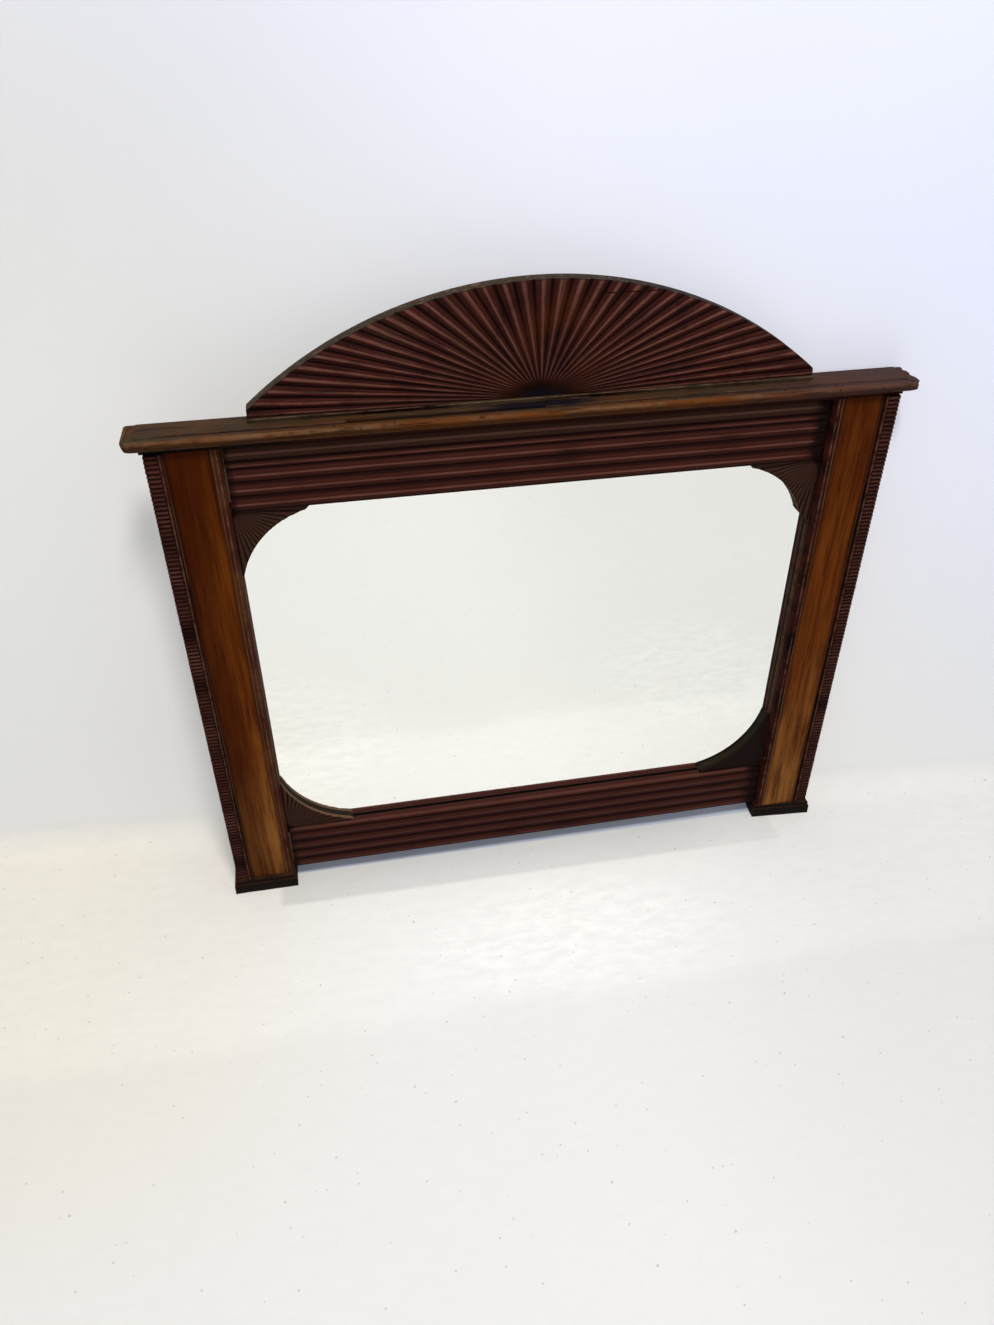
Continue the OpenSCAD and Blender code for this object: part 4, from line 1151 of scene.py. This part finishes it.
class ShapeCornice(MirrorOperator):
    """Shape the cornice: nose in three lengths, top board with the lost splinter, and bed"""

    bl_idname = "mirror.shape_cornice"
    bl_label = "Shape Cornice"

    def execute(self, context):
        finishes = self.finishes
        places = (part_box("cornice_board")[0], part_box("cornice_nose_front")[1].z)
        brown = cornice_finish(finishes, "cornice stain", (6, 130, 130), *places, 7)
        returns = cornice_finish(finishes, "cornice return", (90, 30, 130), *places, 8, lined=0.0)
        dress(self.nose("front", 51), brown, "worn_wood", "cornice_nose_front")
        for seed, side in enumerate(SIDES, 52):
            dress(self.nose(side, seed), returns, "worn_wood", "cornice_nose_" + side)
        dress(self.top_board(54), brown, "worn_wood", "cornice_top_board")
        # The bed board is near-black at the left: black stain and painted shade under the nose
        dress_node("bed_board", black_finish(finishes, "bed stain and shade", -0.34), MM)
        dress_node("cornice_board", brown)
        return {"FINISHED"}

    def nose_rows(self, width, height):
        """(outwards, up, on the arris) round the nose, from the top of its joint."""
        carving = self.carving
        arris = carving.nose_arris
        flat = 1.5 * MM
        rise = height - carving.nose_lip
        run = width - flat
        chord = math.hypot(run, rise)
        sag = math.sqrt(carving.nose_round**2 - chord * chord / 4)
        rows = [(0.0, height, 0.35), (width * 0.35, height, 0.1), (width * 0.7, height, 0.2)]
        for k in range(5):
            a = math.radians(90 - 22.5 * k)
            out = width - arris + arris * math.cos(a)
            rows.append((out, height - arris + arris * math.sin(a), 1.0))
        for k in range(11):
            t = 1 - k / 10
            bow = math.sqrt(carving.nose_round**2 - (chord * (t - 0.5)) ** 2) - sag
            out = flat + run * t + bow * rise / chord
            rows.append((out, rise * t - bow * run / chord, 0.6 if k == 0 else 0.0))
        rows = [(min(out, width), max(up, 0.0), edge) for out, up, edge in rows]
        return rows + [(0.0, 0.0, 0.0)]

    def nose(self, part, seed):
        front_low, front_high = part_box("cornice_nose_front")
        board_low, board_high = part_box("cornice_board")
        far_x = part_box("cornice_nose_right")[1].x
        corner = self.carving.corner_round
        dent = self.carving.dent * 1.6
        rows = self.nose_rows(board_low.y - front_low.y, front_high.z - front_low.z)
        span = board_high.x
        count = 260 if part == "front" else 22
        sweep = Sweep()
        for i in range(count + 1):
            t = i / count
            section = []
            for out, up, edge in rows:
                if part == "front":
                    x = (2 * t - 1) * (span + out)
                    y = board_low.y - out
                else:
                    sign = 1 if part == "right" else -1
                    x = sign * (span + out)
                    y = board_low.y - out + t * (board_high.y - board_low.y + out)
                along = x if part == "front" else y
                broken = min(1.0, max(0.0, (x - BREAK_FROM) / BREAK_OVER))
                ragged = 1 + 2.5 * broken
                chip = max(0.0, lump(along * 35, up * 200, out * 90, seed) - 0.28) * 4.5 * edge
                chip += broken * max(0.0, lump(along * 95, up * 260, out * 60, seed) + 0.1) * 2.2
                wave = lump(along * 14, up * 90, out * 90, seed)
                sink = dent * (0.5 + 0.5 * wave + chip) * ragged
                inset = sink if out > 0 else 0
                x, y = self.inside_corner(x, y, far_x, front_low.y, corner, inset)
                section.append((x, y, front_low.z + up - (sink * 0.7 if up > 5 * MM else 0)))
            sweep.add(section, edge=[row[2] for row in rows])
        return skin("cornice_nose_" + part + "_worn", sweep, sharp=50)

    def inside_corner(self, x, y, far_x, front_y, corner, sink):
        """Keeps a point inside the cornice's worn plan, sunk a little from its edge."""
        cx = far_x - corner
        cy = front_y + corner
        ax = abs(x)
        if ax > cx and y < cy:
            away = math.hypot(ax - cx, cy - y)
            if away > corner - sink:
                scale = (corner - sink) / away
                ax = cx + (ax - cx) * scale
                y = cy - (cy - y) * scale
        else:
            ax = min(ax, far_x - sink)
            y = max(y, front_y + sink)
        return math.copysign(ax, x), y

    def top_board(self, seed):
        carving = self.carving
        low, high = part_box("cornice_top_board")
        start = carving.splinter_from
        end = carving.splinter_to
        step = 0.2 * MM
        breaks = [high.x, start - step, start + step, end - step, end + step]
        xs = sorted(set(list(np.arange(low.x, high.x, SPACING)) + breaks))
        sweep = Sweep()
        for x in xs:
            lost = start < x < end
            loss = 0.0
            if lost:
                taper = min(1.0, (x - start) / (6 * MM), 0.6 + (end - x) / 0.16)
                loss = carving.splinter_depth * (taper + 0.12 * lump(x * 60, 0, 0, seed))
            wave = carving.dent * (1 + lump(x * 50, 0, 4, seed) + lump(x * 160, 0, 6, seed))
            front = low.y + loss + wave * 0.8
            worn = carving.dent * (1.2 + lump(x * 30, 0, 8, seed))
            profile = [
                (front, low.z), (front, high.z - 1.4 * MM - worn),
                (front + 0.5 * MM, high.z - 0.5 * MM - worn), (front + 1.5 * MM, high.z - worn * 0.5),
                (front + 5 * MM, high.z - worn * 0.3), ((front + high.y) / 2, high.z - worn * 0.2),
                (high.y - MM, high.z), (high.y, high.z - MM), (high.y, low.z),
            ]
            pale = 0.25 if lost else 1.0
            sweep.add(
                [(x, y, z) for y, z in profile],
                edge=[0.0, pale, pale, 0.5 * pale, 0.0, 0.0, 0.3, 0.5, 0.0],
                groove=[0.9 if lost else 0.2, 0.4 if lost else 0.0] + [0.0] * 7,
            )
        return skin("cornice_top_worn", sweep, sharp=50)


class TurnOutFeet(MirrorOperator):
    """Round and blacken the tiers of the feet"""

    bl_idname = "mirror.turn_out_feet"
    bl_label = "Turn Out Feet"

    def execute(self, context):
        black = black_finish(self.finishes, "black stain")
        carving = self.carving
        for seed, side in enumerate(SIDES, 61):
            skew = carving.foot_skew if side == "right" else 0.0
            node = "foot_" + side + "_lower"
            low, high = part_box(node)
            piece = self.tier(node, low, high, skew, [(low.z, 0.0), (high.z, 0.0)], seed)
            dress(piece, black, "black_wood", node)
            node = "foot_" + side + "_upper"
            low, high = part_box(node)
            groove = low.z + carving.foot_groove
            inset = carving.foot_step
            levels = [(low.z, inset), (groove, inset), (groove, 0.0), (high.z, 0.0)]
            piece = self.tier(node, low, high, skew, levels, seed + 4)
            dress(piece, black, "black_wood", node)
        return {"FINISHED"}

    def tier(self, node, low, high, skew, levels, seed):
        """A ragged block over its plan; each level is (height, set in)."""
        carving = self.carving
        inner = low.x if low.x > 0 else high.x
        outer = high.x if low.x > 0 else low.x
        r = carving.arris * 1.8
        plan = self.plan(inner, outer, low.y, high.y, skew)
        rows = []
        for n, (z, inset) in enumerate(levels):
            low_edge = n % 2 == 0
            span = levels[n + 1][0] - z if low_edge else z - levels[n - 1][0]
            round_r = min(r, span * 0.3)
            turn = [(0.0, round_r), (0.3, 0.3 * round_r), (1.0, 0.0)]
            for up, cut in turn if low_edge else reversed(turn):
                rows.append((z + (up if low_edge else -up) * round_r, inset + cut, 1.0 - up))
        sweep = Sweep()
        for z, inset, edge in rows:
            section = []
            worn = []
            for x, y, nx, ny, corner in plan:
                arris = max(edge, corner)
                rough = 0.5 + 0.5 * lump(x * 60, y * 60, z * 140, seed)
                chip = max(0.0, lump(x * 110, y * 110, z * 60, seed + 2) - 0.15) * 3 * arris
                sink = inset + carving.dent * (rough * 1.4 + chip * 1.5)
                section.append((x - nx * sink, y - ny * sink if ny < 0 else y, z))
                worn.append(arris)
            sweep.add(section, edge=worn)
        return skin(node + "_worn", sweep, sharp=60)

    def plan(self, inner, outer, front, back, skew):
        """Points round the plan with the way out of each, closer at the corners."""
        corners = [(inner, front + skew), (outer, front), (outer, back), (inner, back)]
        turn = 1 if outer > inner else -1
        points = []
        for n, (x0, y0) in enumerate(corners):
            x1, y1 = corners[(n + 1) % 4]
            long = math.hypot(x1 - x0, y1 - y0)
            nx = turn * (y1 - y0) / long
            ny = -turn * (x1 - x0) / long
            parts = int(long / (3 * MM))
            for k in range(parts):
                x = x0 + (x1 - x0) * k / parts
                y = y0 + (y1 - y0) * k / parts
                points.append((x, y, nx, ny, 1.0 if k == 0 else 0.0))
        return points


class SilverGlass(MirrorOperator):
    """Silver the glass"""

    bl_idname = "mirror.silver_glass"
    bl_label = "Silver Glass"

    def execute(self, context):
        dress_node("mirror_glass", glass_finish(self.finishes), 0.0)
        return {"FINISHED"}


class FinishCarcass(MirrorOperator):
    """Finish the carcass, the backboards and what holds the glass"""

    bl_idname = "mirror.finish_carcass"
    bl_label = "Finish Carcass"

    def execute(self, context):
        finishes = self.finishes
        upright = plain_finish(finishes, "softwood upright", finishes.softwood, (160, 160, 5))
        level = plain_finish(finishes, "softwood level", finishes.softwood, (5, 160, 160), shift=2)
        for node in ("post_left", "post_right"):
            dress_node(node, upright, 0.6 * MM)
        for node in ("top_rail", "bottom_rail"):
            dress_node(node, level, 0.6 * MM)
        for row in ("top", "middle", "bottom"):
            dress_node("backboard_" + row, level, 0.6 * MM)
        for node in ("glass_wedges", "pediment_dowels"):
            dress_node(node, upright, 0.0)
        card = plain_finish(finishes, "card", finishes.card, (300, 300, 300), 0.1 * MM)
        dress_node("packing_sheet", card, 0.0)
        return {"FINISHED"}


class FinishFixings(MirrorOperator):
    """Finish the screws and the hanger plates"""

    bl_idname = "mirror.finish_fixings"
    bl_label = "Finish Fixings"

    def execute(self, context):
        steel = steel_finish(self.finishes)
        for node in ("backboard_screws", "cornice_screws", "foot_screws", "hanger_screws"):
            dress_node(node, steel, 0.0)
        for side in SIDES:
            dress_node("hanger_plate_" + side, steel, 0.3 * MM)
        return {"FINISHED"}


class SetRoom(MirrorOperator):
    """Set the floor, the wall, the lamps and the camera"""

    bl_idname = "mirror.set_room"
    bl_label = "Set Room"

    def execute(self, context):
        self.backdrop()
        self.lamps()
        self.camera()
        context.scene.view_settings.view_transform = "Standard"
        return {"FINISHED"}

    def backdrop(self):
        """A floor that turns up into an upright wall, which stands nearer the mirror at its right."""
        path = [(-FLOOR_REACH, 0.0), (-FLOOR_FIXED, 0.0), (-TURN, 0.0)]
        for k in range(1, 10):
            a = math.pi / 2 * k / 9
            path.append((-TURN + TURN * math.sin(a), TURN - TURN * math.cos(a)))
        path += [(0.0, 0.2), (0.0, WALL_REACH)]
        sweep = Sweep()
        for x in np.linspace(-WALL_REACH, WALL_REACH, 9):
            sweep.add([(x, self.beside_wall(x, y), z) for y, z in path])
        piece = skin("room", sweep, closed_profile=False, caps=False, sharp=60)
        piece.data.materials.append(self.paint_finish(self.room).material)

    def beside_wall(self, x, y):
        if y <= -FLOOR_FIXED:
            return y
        return y + self.room.wall_gap - self.room.wall_turn * x

    def paint_finish(self, room):
        """Flat paint with the room's soft shadows, clear when seen from its outer side.

        The camera and the glass see it a little brighter than the lamps leave it."""
        f = Finish("painted room", Roughness=0.6, Specular_IOR_Level=0.2, Emission_Strength=1.0)
        up = (f.z + f.uneven(2, 0.03)).step(0.005, 0.07)
        brush = f.cloud(26, 60, 60, detail=5, rough=0.75)
        band = f.y + f.uneven(3, 0.10, 6)
        tint = self.paint_tint(f, room, up, brush, band)
        seen = f.node("ShaderNodeLightPath", output="Is Camera Ray")
        mirrored = f.node("ShaderNodeLightPath", output="Is Glossy Ray")
        through = f.node("ShaderNodeLightPath", output="Is Transmission Ray")
        pool = self.pool(f, *POOL) * seen
        for patch in GLASS_POOLS:
            pool = pool.highest(self.pool(f, *patch) * mirrored)
        near = band.step(-0.42, -0.22) * (1 - up)
        glare = pool * brush.step(0.36, 0.62) * 0.10
        glare = glare + near * (brush.step(0.3, 0.7) * 0.03 + mirrored * 0.05)
        between = f.x.absolute().step(*BETWEEN_FEET) * (1 - up)
        blocked = (f.y + f.x * 0.005).step(*SHADOW_EDGE) * between
        half_shade = (f.y + f.x * 0.010).step(*HALF_SHADE_EDGE) * between
        tint = f.shade(tint, 1 - half_shade * (0.17 - f.x.step(0.2, 0.4) * 0.09))
        tint = f.mix(tint, room.shadow, blocked * 0.75)
        shown = seen.highest(mirrored).highest(through)
        light = f.shade(tint, shown * (1 - blocked * 0.65) * room.shine + glare)
        inner_side = f.node("ShaderNodeNewGeometry", output="Backfacing")
        f.paint(Base_Color=tint, Emission_Color=light, Alpha=inner_side)
        return f

    def paint_tint(self, f, room, up, brush, band):
        """The paint's colour: wall where up is 1 and floor where it is 0, with brush marks and grit,
        and with painted light and shade: the wall bluer towards its top right and darker towards its
        top at the left, the floor darker towards the right and the front.
        """
        # Painted light and shade: bluer towards the top right, darker towards the top at the left
        wall = f.mix(room.wall, room.wall_top_right_light, (f.x * 0.5 + f.z * 0.7).step(0.3, 1.1))
        wall = f.shade(wall, 1 - f.z.step(0.6, 1.2) * (0.12 - f.x.step(-0.5, 0.1) * 0.11))
        warm = f.x.step(-0.2, -0.75) * f.y.step(-0.75, -0.30)
        floor = f.mix(room.floor, room.floor_warm, warm)
        # Painted shade: the floor darker towards the right and towards the front
        floor = f.shade(floor, 1 - f.x.step(-0.05, 0.5) * 0.07 - band.step(-0.29, -0.34) * 0.045)
        marks = f.cloud(3, 3, 3) * 0.03 + brush.step(0.3, 0.7) * (1 - up) * 0.02
        tint = f.shade(f.mix(floor, wall, up), 0.975 + marks)
        to_wall = f.y - room.wall_gap + f.x * room.wall_turn
        grit = f.cloud(150, 150, 150, detail=0, shift=4).step(0.825, 0.85)
        return f.mix(tint, DUSTY, grit * to_wall.step(0.0, -0.02) * 0.3)

    def pool(self, f, x, y, wide, deep):
        """A soft patch on the floor where the paint shines."""
        across = (f.x - x) / wide
        along = (f.y - y) / deep
        return (across * across + along * along).step(1.0, 0.0)

    def lamps(self):
        room = self.room
        self.lamp("window", *WINDOW_LAMP, room.window)
        self.lamp("side", *SIDE_LAMP, room.fill)
        world = bpy.data.worlds.new("soft light")
        world.use_nodes = True
        back = world.node_tree.nodes["Background"]
        back.inputs["Color"].default_value = (*SKY_TINT, 1)
        back.inputs["Strength"].default_value = room.glow
        bpy.context.scene.world = world

    def lamp(self, name, place, target, size, power):
        lamp = bpy.data.lights.new(name, "AREA")
        lamp.size = size
        lamp.energy = power
        lamp.color = LAMP_TINT
        piece = bpy.data.objects.new(name, lamp)
        bpy.context.scene.collection.objects.link(piece)
        aim = Vector(target) - Vector(place)
        piece.location = place
        piece.rotation_euler = aim.to_track_quat("-Z", "Y").to_euler()

    def camera(self):
        """Stands at the photograph's own viewpoint."""
        ahead = Vector(AHEAD)
        across = ahead.cross(Vector(ABOVE)).normalized()
        above = across.cross(ahead).normalized()
        turn = Matrix((across, above, -ahead.normalized())).transposed().to_4x4()
        lens = bpy.data.cameras.new("viewpoint")
        lens.sensor_width = SENSOR
        lens.lens = LENS
        lens.clip_start = 0.01
        piece = bpy.data.objects.new("viewpoint", lens)
        bpy.context.scene.collection.objects.link(piece)
        piece.matrix_world = Matrix.Translation(EYE) @ turn
        bpy.context.scene.camera = piece


OPERATORS = (
    SetRoom, CarvePediment, CarveCorners, ReedRails, CutRibs, RunPostMouldings, ShapeCornice,
    TurnOutFeet, SilverGlass, FinishCarcass, FinishFixings,
)


class MirrorPanel(bpy.types.Panel):
    """Lists the mirror's sizes, finishes and steps."""

    bl_idname = "VIEW3D_PT_mirror"
    bl_label = "Overmantel Mirror"
    bl_space_type = "VIEW_3D"
    bl_region_type = "UI"
    bl_category = "Mirror"

    def draw(self, context):
        for name in GROUPS:
            group = getattr(context.scene, name)
            box = self.layout.box()
            for key in group.bl_rna.properties.keys():
                if key not in ("rna_type", "name"):
                    box.prop(group, key)
        for operator in OPERATORS:
            self.layout.operator(operator.bl_idname)


GROUPS = {
    "mirror_carving": MirrorCarving,
    "mirror_finishes": MirrorFinishes,
    "mirror_room": MirrorRoom,
}


def register():
    for group in GROUPS.values():
        bpy.utils.register_class(group)
    for name, group in GROUPS.items():
        setattr(bpy.types.Scene, name, PointerProperty(type=group))
    for operator in OPERATORS:
        bpy.utils.register_class(operator)
    bpy.utils.register_class(MirrorPanel)


def unregister():
    bpy.utils.unregister_class(MirrorPanel)
    for operator in reversed(OPERATORS):
        bpy.utils.unregister_class(operator)
    for name, group in GROUPS.items():
        delattr(bpy.types.Scene, name)
        bpy.utils.unregister_class(group)


def main():
    register()
    for operator in OPERATORS:
        family, action = operator.bl_idname.split(".")
        getattr(getattr(bpy.ops, family), action)()


if __name__ == "__main__":
    main()
